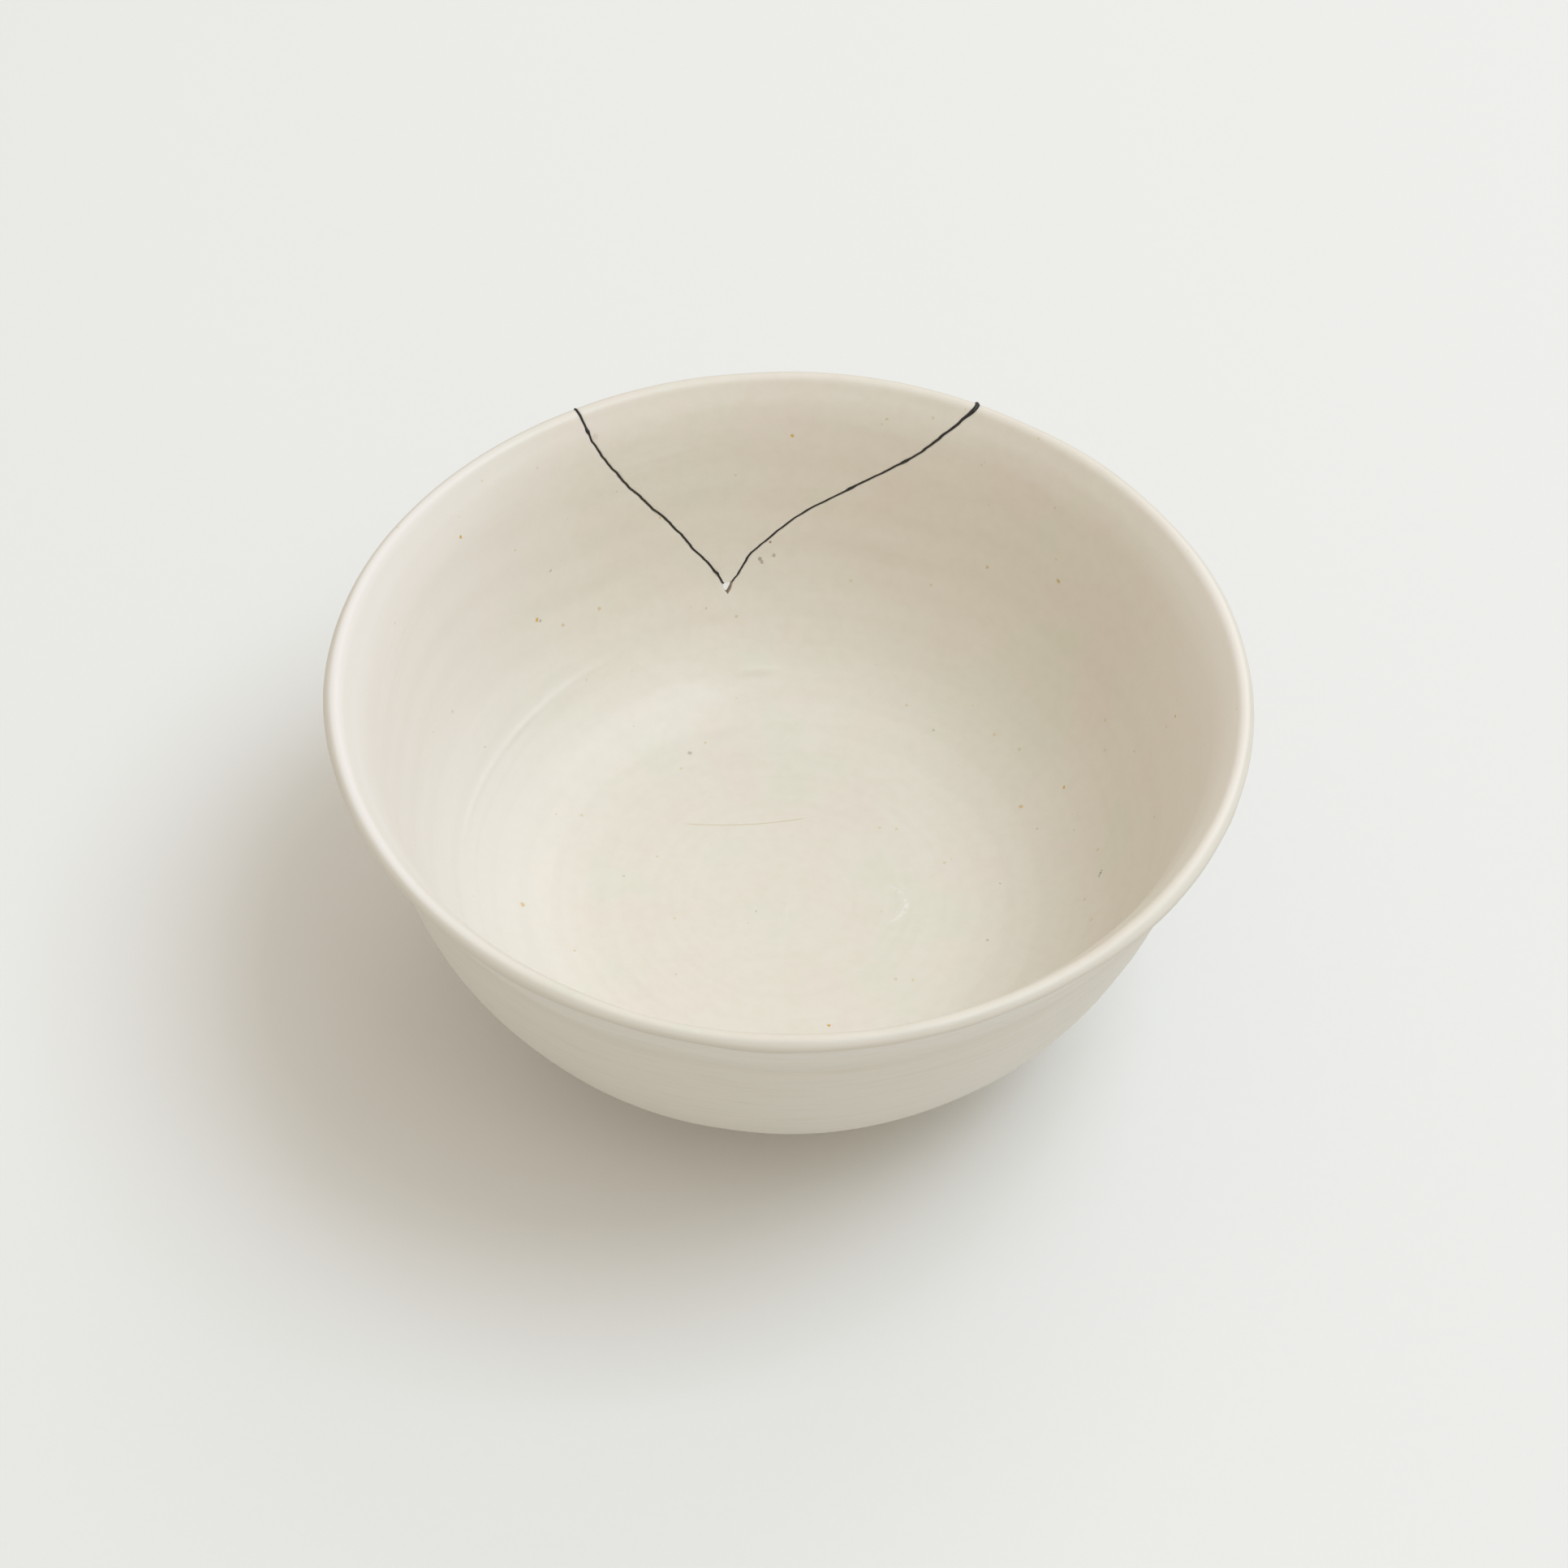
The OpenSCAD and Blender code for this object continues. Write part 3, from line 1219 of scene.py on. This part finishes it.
class NodeTree:
    """Writes the nodes of one material."""

    def __init__(self, name: str) -> None:
        """Makes an empty material.

        Args:
            name: Its name.
        """
        self.material = bpy.data.materials.new(name)
        self.material.use_nodes = True
        self.tree = self.material.node_tree
        self.tree.nodes.clear()

    def node(self, kind: str, settings: Optional[dict[str, Any]] = None,
             inputs: Optional[dict[Union[str, int], Any]] = None) -> bpy.types.Node:
        """Adds any node.

        Args:
            kind: The node's type.
            settings: Its own settings, which are set first.
            inputs: Values or wires of its sockets, by name or number.

        Returns:
            The node.
        """
        node = self.tree.nodes.new(kind)
        for key, value in (settings or {}).items():
            setattr(node, key, value)
        for key, value in (inputs or {}).items():
            if isinstance(value, Wire):
                self.tree.links.new(value.socket, node.inputs[key])
            elif isinstance(value, tuple) and len(value) == 3 and \
                    node.inputs[key].type == "RGBA":
                node.inputs[key].default_value = (*value, 1)
            else:
                node.inputs[key].default_value = value
        return node

    def wire(self, kind: str, settings: Optional[dict[str, Any]] = None,
             inputs: Optional[dict[Union[str, int], Any]] = None,
             output: Union[str, int] = 0) -> Wire:
        """Adds a node and returns one of its outputs."""
        return Wire(self, self.node(kind, settings, inputs).outputs[output])

    def sum(self, operation: str, *values: Value) -> Wire:
        """Adds a Math node."""
        return self.wire("ShaderNodeMath", {"operation": operation}, dict(enumerate(values)))

    def vector(self, operation: str, inputs: dict[Union[str, int], Any],
               output: Union[str, int] = 0) -> Wire:
        """Adds a Vector Math node."""
        return self.wire("ShaderNodeVectorMath", {"operation": operation}, inputs, output)

    def blend(self, share: Value, a: Union[Wire, Colour], b: Union[Wire, Colour]) -> Wire:
        """A colour between two colours."""
        return self.wire("ShaderNodeMix", {"data_type": "RGBA", "blend_type": "MIX"},
                         {"Factor": share, 6: a, 7: b}, 2)

    def fade(self, value: Value, start: float, end: float) -> Wire:
        """A smooth step from 0 at start to 1 at end."""
        return self.wire("ShaderNodeMapRange", {"interpolation_type": "SMOOTHSTEP"},
                         {"Value": value, "From Min": start, "From Max": end})

    def noise(self, place: Wire, size: float, detail: float = 2.0) -> Wire:
        """Soft noise whose patches are about `size` millimetres across."""
        return self.wire("ShaderNodeTexNoise", {"noise_dimensions": "3D"},
                         {"Vector": place, "Scale": 1 / size, "Detail": detail})

    def place(self) -> Wire:
        """The place on the piece, in millimetres."""
        spot = self.wire("ShaderNodeTexCoord", output="Object")
        return self.vector("SCALE", {0: spot, "Scale": 1 / MM})

    def parts(self, place: Wire) -> tuple[Wire, Wire, Wire]:
        """The three parts of a vector."""
        node = self.node("ShaderNodeSeparateXYZ", None, {0: place})
        return tuple(Wire(self, socket) for socket in node.outputs)

    def bump(self, height: Value, depth: float) -> Wire:
        """A normal from a height, of which 1 stands for `depth` millimetres."""
        return self.wire("ShaderNodeBump", None,
                         {"Strength": 1.0, "Distance": depth * MM, "Height": height})

    def surface(self, inputs: dict[str, Any]) -> bpy.types.Material:
        """Ends the tree in a Principled surface.

        Args:
            inputs: Values and wires of the surface's sockets, by name.

        Returns:
            The finished material.
        """
        shader = self.wire("ShaderNodeBsdfPrincipled", None, inputs)
        self.node("ShaderNodeOutputMaterial", None, {"Surface": shader})
        return self.material


class Tone(Enum):
    """Colours of the specks and smears in and on the glaze."""

    ORANGE = (0.62, 0.38, 0.04)
    TAN = (0.56, 0.38, 0.08)
    GREY = (0.36, 0.31, 0.25)
    DARK = (0.12, 0.11, 0.10)
    SMEAR = (0.24, 0.15, 0.09)


@dataclass(frozen=True)
class Speck:
    """One speck in the glaze: where it is, how wide, and how strong."""

    at: Point
    width: float
    strength: float = 0.95


SPECKS: dict[Tone, tuple[Speck, ...]] = {
    Tone.ORANGE: (
        Speck((-0.5, 72.0, 62.0), 0.6), Speck((-60.0, 41.0, 64.0), 0.6),
        Speck((-47.5, -6.0, 17.0), 0.8, 0.6), Speck((-47.0, 45.0, 38.5), 0.7),
        Speck((8.5, -30.0, 14.5), 0.6), Speck((51.0, 21.0, 22.5), 0.6),
        Speck((43.5, 20.5, 17.5), 0.7, 0.6), Speck((58.0, 26.5, 35.0), 0.5, 0.5),
        Speck((-25.0, 63.5, 48.0), 0.5, 0.6), Speck((-70.0, 19.5, 63.5), 0.5, 0.4),
        Speck((55.0, -11.5, 23.5), 0.6, 0.4), Speck((23.5, -19.0, 14.5), 0.5, 0.4),
    ),
    Tone.TAN: (
        Speck((-15.5, 37.0, 15.0), 0.5, 0.6), Speck((36.5, 56.5, 44.0), 0.6, 0.6),
        Speck((25.5, 70.5, 69.0), 0.5, 0.5), Speck((17.0, 72.0, 67.0), 0.5, 0.5),
        Speck((-36.0, 52.5, 34.5), 0.7, 0.5), Speck((-42.5, 47.5, 35.0), 0.6, 0.5),
        Speck((49.5, 48.0, 49.5), 0.7, 0.9), Speck((68.5, 11.5, 52.5), 0.6, 0.7),
    ),
    Tone.GREY: (
        Speck((-18.5, 34.5, 14.5), 0.75, 0.6), Speck((-46.5, 45.5, 38.0), 0.5, 0.7),
        Speck((-45.0, 51.0, 46.0), 0.5, 0.7), Speck((-16.0, 58.5, 29.0), 0.4, 0.6),
        Speck((46.5, 15.0, 17.5), 0.4, 0.7), Speck((39.5, 4.0, 14.5), 0.4, 0.7),
        Speck((27.5, 39.5, 17.0), 0.5, 0.5), Speck((65.5, -0.5, 39.0), 0.5, 0.4),
        Speck((59.5, -18.0, 31.5), 0.4, 0.6), Speck((37.0, -9.5, 14.5), 0.4, 0.5),
    ),
    Tone.DARK: (
        Speck((-5.0, -3.5, 14.0), 0.3, 0.6), Speck((-29.5, 4.0, 14.0), 0.3, 0.6),
        Speck((-55.5, 22.5, 28.0), 0.4, 0.5), Speck((56.9, -1.6, 23.9), 0.4, 0.7),
        Speck((57.1, -1.2, 24.15), 0.4, 0.7), Speck((57.3, -0.8, 24.4), 0.4, 0.7),
    ),
    Tone.SMEAR: (
        Speck((-4.3, 65.7, 40.0), 0.5, 0.8), Speck((-6.1, 64.4, 36.8), 0.8, 0.6),
        Speck((-5.8, 64.2, 36.2), 0.6, 0.55), Speck((-3.5, 64.8, 37.4), 0.7, 0.5),
        Speck((-37.0, 64.5, 68.0), 1.1, 0.16), Speck((37.0, -61.2, 48.4), 0.40, 0.45),
        Speck((37.5, -60.9, 48.4), 0.45, 0.50), Speck((38.1, -60.6, 48.5), 0.45, 0.55),
        Speck((38.6, -60.3, 48.8), 0.40, 0.50), Speck((39.1, -60.1, 49.1), 0.35, 0.45),
    ),
}


@dataclass(frozen=True)
class Glaze:
    """Satin, warm white glaze with soft pink and green clouds and a few iron specks, with painted
    light and shade on its walls, its outside and the finger mark.
    """

    cream: Colour = (0.780, 0.735, 0.645)
    pink: Colour = (0.790, 0.715, 0.635)
    green: Colour = (0.745, 0.735, 0.625)
    # painted shade: the outside wall is darker, as if less lit
    outside: Colour = (0.705, 0.668, 0.590)
    # the streaks' colour, also used as painted shade in a groove below the lip
    streak_and_groove_shade: Colour = (0.650, 0.600, 0.510)
    # painted shade under the lip's roll
    under_lip: Colour = (0.600, 0.545, 0.455)
    # painted light on a band of the outside below the lip
    ridge: Colour = (0.840, 0.820, 0.770)
    # painted highlight on the edge of the finger mark
    mark_edge_painted_highlight: Colour = (0.920, 0.910, 0.880)
    # painted light: the left and right walls are paler, as if more lit
    left_wall_painted_light: Colour = (0.830, 0.790, 0.745)
    right_wall_painted_light: Colour = (0.840, 0.790, 0.720)
    ring: Colour = (0.700, 0.660, 0.560)
    mottle: Colour = (0.67, 0.61, 0.50)
    hairline: Colour = (0.56, 0.45, 0.24)
    raw_clay: Colour = (0.640, 0.560, 0.440)
    raw_clay_dark: Colour = (0.52, 0.44, 0.33)
    cloud_share: float = 0.65
    mottle_share: float = 0.16
    ring_share: float = 0.13
    outside_painted_shade_share: float = 0.90
    streak_share: float = 0.45
    hairline_share: float = 0.55
    roughness: float = 0.58
    gloss: float = 0.22
    cloud: float = 16.0
    grain: float = 0.9
    bare_below: float = 1.0
    floor_heights: tuple[float, float] = (12.0, 17.0)
    hairline_middle: Point = (-15.5, 100.5, 0.0)
    hairline_radius: float = 83.5
    painted_groove_shade_z: float = 57.4

    def specks(self, tree: NodeTree, clay: Clay, place: Wire, colour: Wire) -> Wire:
        """Lays the specks over a colour.

        Args:
            tree: The material's nodes.
            clay: The thrown form that they lie on.
            place: The place in millimetres.
            colour: The colour under them.

        Returns:
            The colour with its specks.
        """
        ragged = tree.wire("ShaderNodeTexNoise", {"noise_dimensions": "3D"},
                           {"Vector": place, "Scale": 2.3, "Detail": 1.0}, "Color")
        ragged = tree.vector("SUBTRACT", {0: ragged, 1: (0.5, 0.5, 0.5)})
        ragged = tree.vector("SCALE", {0: ragged, "Scale": 0.7})
        spot = tree.vector("ADD", {0: place, 1: ragged})
        for tone in Tone:
            cover: Value = 0.0
            for speck in SPECKS[tone]:
                away = tree.vector("DISTANCE", {0: spot, 1: clay.nearest(speck.at)}, "Value")
                mask = speck.strength * (1 - tree.fade(away, 0.30 * speck.width,
                                                       0.75 * speck.width))
                cover = tree.sum("MAXIMUM", cover, mask)
            colour = tree.blend(cover, colour, tone.value)
        return colour

    def painted_side_light_and_rings(self, tree: NodeTree, place: Wire, colour: Wire) -> Wire:
        """Paints light on the two side walls, making them paler, and lays faint darker rings all
        over the inside.

        Args:
            tree: The material's nodes.
            place: The place in millimetres.
            colour: The colour under them.

        Returns:
            The changed colour.
        """
        x, _, _ = tree.parts(place)
        # Painted light: the left and right walls are made paler.
        colour = tree.blend(1 - tree.fade(x, -74.0, -28.0), colour, self.left_wall_painted_light)
        colour = tree.blend(tree.fade(x, 58.0, 76.0), colour, self.right_wall_painted_light)
        flat = tree.vector("MULTIPLY", {0: place, 1: (1, 1, 0)})
        radius = tree.vector("LENGTH", {0: flat}, "Value") + 1.5 * tree.noise(place, 25.0, 1.0)
        rings = tree.wire("ShaderNodeTexNoise", {"noise_dimensions": "1D"},
                          {"W": radius, "Scale": 0.32, "Detail": 3.0})
        return tree.blend(self.ring_share * tree.fade(rings, 0.46, 0.70), colour, self.ring)

    def dust(self, tree: NodeTree, place: Wire, colour: Wire) -> Wire:
        """Lays many faint pinprick specks over a colour.

        Args:
            tree: The material's nodes.
            place: The place in millimetres.
            colour: The colour under them.

        Returns:
            The colour with its pinpricks.
        """
        cells = tree.node("ShaderNodeTexVoronoi", {"feature": "F1"},
                          {"Vector": place, "Scale": 0.22, "Randomness": 1.0})
        distance = Wire(tree, cells.outputs["Distance"])
        luck = tree.parts(Wire(tree, cells.outputs["Color"]))
        size = 0.03 + 0.05 * luck[1]
        dot = (distance < size) * (luck[0] > 0.45)
        colour = tree.blend(0.30 * dot, colour, Tone.TAN.value)
        return tree.blend(0.25 * (distance < 0.04) * (luck[2] > 0.88), colour, Tone.GREY.value)

    def on_floor(self, z: Wire) -> Wire:
        """1 at the heights of the bowl's floor, and 0 elsewhere."""
        return (z < self.floor_heights[1]) * (z > self.floor_heights[0])

    def scratch(self, tree: NodeTree, place: Wire, colour: Wire) -> Wire:
        """Lays a yellowish hairline over the floor.

        Args:
            tree: The material's nodes.
            place: The place in millimetres.
            colour: The colour under it.

        Returns:
            The colour with the hairline.
        """
        x, _, z = tree.parts(place)
        flat = tree.vector("MULTIPLY", {0: place, 1: (1, 1, 0)})
        away = tree.vector("DISTANCE", {0: flat, 1: self.hairline_middle}, "Value")
        line = 1 - tree.fade(abs(away - self.hairline_radius), 0.05, 0.16)
        ends = tree.fade(x, -19.5, -17.0) * (1 - tree.fade(x, 2.0, 4.5)) * self.on_floor(z)
        return tree.blend(self.hairline_share * line * ends, colour, self.hairline)

    def outside_streaks_painted_shade_and_light(self, tree: NodeTree, place: Wire, colour: Wire) -> tuple[Wire, Wire]:
        """Darkens the outside as painted shade and combs it with the fine level streaks of the
        turning tool, then paints shade under the lip and in a groove, and light on a band below the
        lip.

        Args:
            tree: The material's nodes.
            place: The place in millimetres.
            colour: The colour under them.

        Returns:
            The colour with its streaks and its painted light and shade, and the streaks' height.
        """
        outwards = tree.vector("NORMALIZE", {0: tree.vector("MULTIPLY", {0: place, 1: (1, 1, 0)})})
        facing = tree.wire("ShaderNodeTexCoord", output="Normal")
        outside = tree.fade(tree.vector("DOT_PRODUCT", {0: facing, 1: outwards}, "Value"), 0.1, 0.6)
        streaks = tree.noise(tree.vector("MULTIPLY", {0: place, 1: (0.06, 0.06, 1.0)}), 0.9, 3.0)
        # Painted shade: the whole outside is made darker.
        colour = tree.blend(self.outside_painted_shade_share * outside, colour, self.outside)
        streaky = outside * tree.fade(streaks, 0.45, 0.75)
        colour = tree.blend(self.streak_share * streaky, colour, self.streak_and_groove_shade)
        z = tree.parts(place)[2] + 0.6 * (tree.noise(place, 30.0, 1.0) - 0.5)
        # Painted shade under the lip, strongest at the front.
        front = tree.fade(-1 * tree.parts(place)[1], 40.0, 75.0)
        shade = (1 - tree.fade(z, 69.5, 71.5)) * tree.fade(z, 66.5, 68.5)
        colour = tree.blend((0.50 + 0.40 * front) * outside * shade, colour, self.under_lip)
        # Painted shade in a groove below the lip.
        groove = 1 - tree.fade(abs(z - self.painted_groove_shade_z), 0.5, 2.0)
        colour = tree.blend(0.25 * outside * groove, colour, self.streak_and_groove_shade)
        # Painted light on a band below the lip.
        ridge = tree.fade(z, 59.5, 62.0) * (1 - tree.fade(z, 65.0, 67.0))
        colour = tree.blend(0.25 * outside * ridge, colour, self.ridge)
        return colour, 1.2 * outside * streaks

    def finger_edge(self, tree: NodeTree, place: Wire) -> Wire:
        """Where the finger mark on the floor gets a painted highlight and a bump along its broken
        edge.

        Args:
            tree: The material's nodes.
            place: The place in millimetres.

        Returns:
            1 on the edge and 0 elsewhere.
        """
        x, y, z = tree.parts(place)
        mark = FingerDent()
        across = (x - mark.x) / mark.half_length
        along_it = (y - mark.y) / mark.half_width + 0.45 * tree.fade(-1 * across, 0.2, 1.0)
        out = tree.sum("SQRT", across * across + along_it * along_it)
        edge = 1 - tree.fade(abs(out - 1.0), 0.0, 0.07)
        left_end = 0.25 * tree.fade(-1 * across, 0.85, 0.98)
        ends = tree.sum("MAXIMUM", tree.fade(across, 0.6, 0.95), left_end)
        broken = tree.fade(tree.noise(place, 1.1, 3.0), 0.40, 0.58)
        return edge * ends * self.on_floor(z) * broken

    def material(self, clay: Clay) -> bpy.types.Material:
        """Writes the glaze's nodes.

        Args:
            clay: The thrown form that the specks lie on.

        Returns:
            The material.
        """
        tree = NodeTree("glaze")
        place = tree.place()
        clouds = tree.noise(place, self.cloud, 3.0)
        drift = tree.vector("ADD", {0: place, 1: (71.0, 13.0, 29.0)})
        other = tree.noise(drift, 1.3 * self.cloud, 3.0)
        colour = tree.blend(self.cloud_share * tree.fade(clouds, 0.42, 0.68), self.cream, self.pink)
        colour = tree.blend(self.cloud_share * tree.fade(other, 0.48, 0.70), colour, self.green)
        fine = tree.noise(place, 2.2, 3.0)
        colour = tree.blend(self.mottle_share * tree.fade(fine, 0.35, 0.75), colour, self.mottle)
        colour = self.painted_side_light_and_rings(tree, place, colour)
        colour = self.dust(tree, place, colour)
        colour = self.specks(tree, clay, place, colour)
        colour = self.scratch(tree, place, colour)
        mark_edge_bump_and_highlight = self.finger_edge(tree, place)
        # Painted highlight along the finger mark's edge.
        colour = tree.blend(0.5 * mark_edge_bump_and_highlight, colour, self.mark_edge_painted_highlight)
        colour, comb = self.outside_streaks_painted_shade_and_light(tree, place, colour)
        _, _, z = tree.parts(place)
        edge = self.bare_below + 0.9 * (tree.noise(place, 3.0) - 0.5)
        bare = 1 - tree.fade(z - edge, -0.15, 0.15)
        sand = tree.noise(place, 0.5, 3.0)
        bare_clay = tree.blend(tree.fade(sand, 0.4, 0.7), self.raw_clay, self.raw_clay_dark)
        colour = tree.blend(bare, colour, bare_clay)
        rough = self.roughness + 0.12 * (tree.noise(place, 5.0, 3.0) - 0.5) + 0.4 * bare
        skin = tree.noise(place, self.grain, 2.0) + 1.5 * tree.noise(place, 3.6, 1.0) + comb
        skin = skin + 5.0 * mark_edge_bump_and_highlight
        return tree.surface({
            "Base Color": colour,
            "Roughness": rough,
            "Normal": tree.bump(skin, 0.012),
            "IOR": 1.5,
            "Coat Weight": self.gloss,
            "Coat Roughness": 0.24,
        })


@dataclass(frozen=True)
class RawClay:
    """The broken face of the fired clay under the glaze: dry, sandy and slightly tan."""

    pale: Colour = (0.70, 0.62, 0.50)
    tan: Colour = (0.55, 0.46, 0.34)

    def material(self) -> bpy.types.Material:
        """Writes the clay's nodes.

        Returns:
            The material.
        """
        tree = NodeTree("raw_clay")
        place = tree.place()
        sand = tree.noise(place, 0.45, 4.0)
        colour = tree.blend(tree.fade(sand, 0.35, 0.7), self.pale, self.tan)
        return tree.surface({
            "Base Color": colour,
            "Roughness": 0.8 + 0.15 * (sand - 0.5),
            "Normal": tree.bump(sand, 0.10),
        })


@dataclass(frozen=True)
class BlackGlue:
    """Dried glue, coloured black, with a satin skin and a dusting of clay."""

    black: Colour = (0.012, 0.011, 0.010)
    dusty: Colour = (0.036, 0.032, 0.028)

    def material(self) -> bpy.types.Material:
        """Writes the glue's nodes.

        Returns:
            The material.
        """
        tree = NodeTree("black_glue")
        place = tree.place()
        dust = tree.noise(place, 0.7, 3.0)
        colour = tree.blend(tree.fade(dust, 0.5, 0.75), self.black, self.dusty)
        return tree.surface({
            "Base Color": colour,
            "Roughness": 0.50 + 0.25 * (dust - 0.5),
            "Normal": tree.bump(dust, 0.03),
        })


@dataclass(frozen=True)
class PaperFloor:
    """Plain pale paper that the bowl stands on."""

    white: Colour = (0.830, 0.830, 0.815)

    def material(self) -> bpy.types.Material:
        """Writes the paper's nodes.

        Returns:
            The material.
        """
        tree = NodeTree("paper_floor")
        place = tree.place()
        fibre = tree.noise(place, 1.2, 3.0)
        return tree.surface({
            "Base Color": self.white,
            "Roughness": 0.95,
            "Specular IOR Level": 0.0,
            "Normal": tree.bump(fibre, 0.02),
        })


# ---------------------------------------------------------------- the studio


@dataclass(frozen=True)
class SoftLamp:
    """A large soft lamp.

    `bearing` is the angle from the right (+X) towards the back (+Y), and `climb` the angle
    above the floor. `share` is the part of a plain, full light that it gives the floor.
    """

    name: str
    bearing: float
    climb: float
    distance: float
    width: float
    length: float
    share: float
    colour: Colour = (1.0, 1.0, 1.0)

    def hang(self, aim: Vector) -> None:
        """Hangs the lamp.

        Args:
            aim: The point that it faces.
        """
        flat = along(self.bearing) * math.cos(math.radians(self.climb))
        way = Vector((flat[0], flat[1], math.sin(math.radians(self.climb))))
        data = bpy.data.lights.new(self.name, "AREA")
        data.shape = "RECTANGLE"
        data.size = self.width
        data.size_y = self.length
        data.color = self.colour
        data.energy = self.share * (math.pi * self.distance) ** 2 / way.z / self.colour[1]
        lamp = bpy.data.objects.new(self.name, data)
        lamp.location = aim + way * self.distance
        lamp.rotation_euler = way.to_track_quat("Z", "Y").to_euler()
        bpy.context.scene.collection.objects.link(lamp)


@dataclass
class Studio:
    """Camera, floor and light."""

    eye: Point = (0.0, -480.1, 579.9)
    aim: Point = (-0.5, 0.0, 44.9)
    roll: float = 1.327
    lens: float = 93.17
    sensor: float = 36.0
    floor_size: float = 6.0
    sky: float = 0.64
    sky_colour: Colour = (1.0, 0.92, 0.80)
    lamps: tuple[SoftLamp, ...] = (
        SoftLamp("window", 5, 64, 3.0, 1.6, 1.6, 0.33, (0.69, 0.85, 1.0)),
        SoftLamp("front_screen", -40, 64, 3.0, 1.6, 1.6, 0.09, (0.92, 0.92, 1.0)),
        SoftLamp("back_screen", 65, 36, 3.0, 1.6, 1.6, 0.055, (1.0, 0.95, 1.0)),
    )

    def set_camera(self) -> None:
        """Stands the camera where it looks down into the bowl from the front."""
        eye, aim = Vector(self.eye) * MM, Vector(self.aim) * MM
        back = (eye - aim).normalized()
        level = Vector((0, 0, 1)).cross(back).normalized()
        upright = back.cross(level)
        c, s = along(self.roll)
        right = level * c + upright * s
        up = upright * c - level * s
        data = bpy.data.cameras.new("camera")
        data.lens = self.lens
        data.sensor_width = self.sensor
        data.clip_start = 0.01
        camera = bpy.data.objects.new("camera", data)
        turned = Matrix((right, up, back)).transposed().to_4x4()
        camera.matrix_world = Matrix.Translation(eye) @ turned
        bpy.context.scene.collection.objects.link(camera)
        bpy.context.scene.camera = camera

    def lay_floor(self, finish: bpy.types.Material) -> None:
        """Lays the floor under the bowl.

        Args:
            finish: Its material.
        """
        half = self.floor_size / 2
        mesh = bpy.data.meshes.new("floor")
        mesh.from_pydata([(-half, -half, 0), (half, -half, 0), (half, half, 0),
                          (-half, half, 0)], [], [(0, 1, 2, 3)])
        mesh.materials.append(finish)
        floor = bpy.data.objects.new("floor", mesh)
        bpy.context.scene.collection.objects.link(floor)

    def light(self) -> None:
        """Sets the sky and hangs the lamps."""
        world = bpy.data.worlds.new("sky")
        world.use_nodes = True
        world.node_tree.nodes["Background"].inputs["Color"].default_value = (
            *self.sky_colour, 1)
        world.node_tree.nodes["Background"].inputs["Strength"].default_value = self.sky
        bpy.context.scene.world = world
        for lamp in self.lamps:
            lamp.hang(Vector(self.aim) * MM)

    def build(self) -> None:
        """Sets up everything round the bowl."""
        self.set_camera()
        self.lay_floor(PaperFloor().material())
        self.light()
        bpy.context.scene.view_settings.view_transform = "Standard"


# ---------------------------------------------------------------- all of it


def dress(piece: bpy.types.Object, node: str) -> None:
    """Puts a piece in the place of its plain node.

    Args:
        piece: The detailed piece.
        node: The node that it stands for.
    """
    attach(piece, "root")
    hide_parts(node)
    log.info("%s: %d faces, for %s", piece.name, len(piece.data.polygons), node)


def main() -> None:
    """Builds the studio and every piece of the bowl, in order."""
    logging.basicConfig(level=logging.INFO, format="%(name)s: %(message)s")
    Studio().build()
    low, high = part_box("bowl_body")
    clay = Clay(TurnedSection(rim_d=(high.x - low.x) / MM, height=(high.z - low.z) / MM))
    glaze = Glaze().material(clay)
    raw = RawClay().material()
    glue = BlackGlue().material()
    bowl = ThrownBowl(clay, LEFT_BREAK, RIGHT_BREAK).build(glaze, raw)
    dress(bowl, "bowl_body")
    sherd = MendedSherd(clay, LEFT_BREAK, RIGHT_BREAK)
    dress(sherd.build(glaze, raw), "rim_shard")
    for path, drop in ((LEFT_BREAK, sherd.left_drop), (RIGHT_BREAK, sherd.right_drop)):
        line = GlueLine(clay, path, drop).build(glue)
        dress(line, f"mend_seam_{path.name}")


if __name__ == "__main__":
    main()
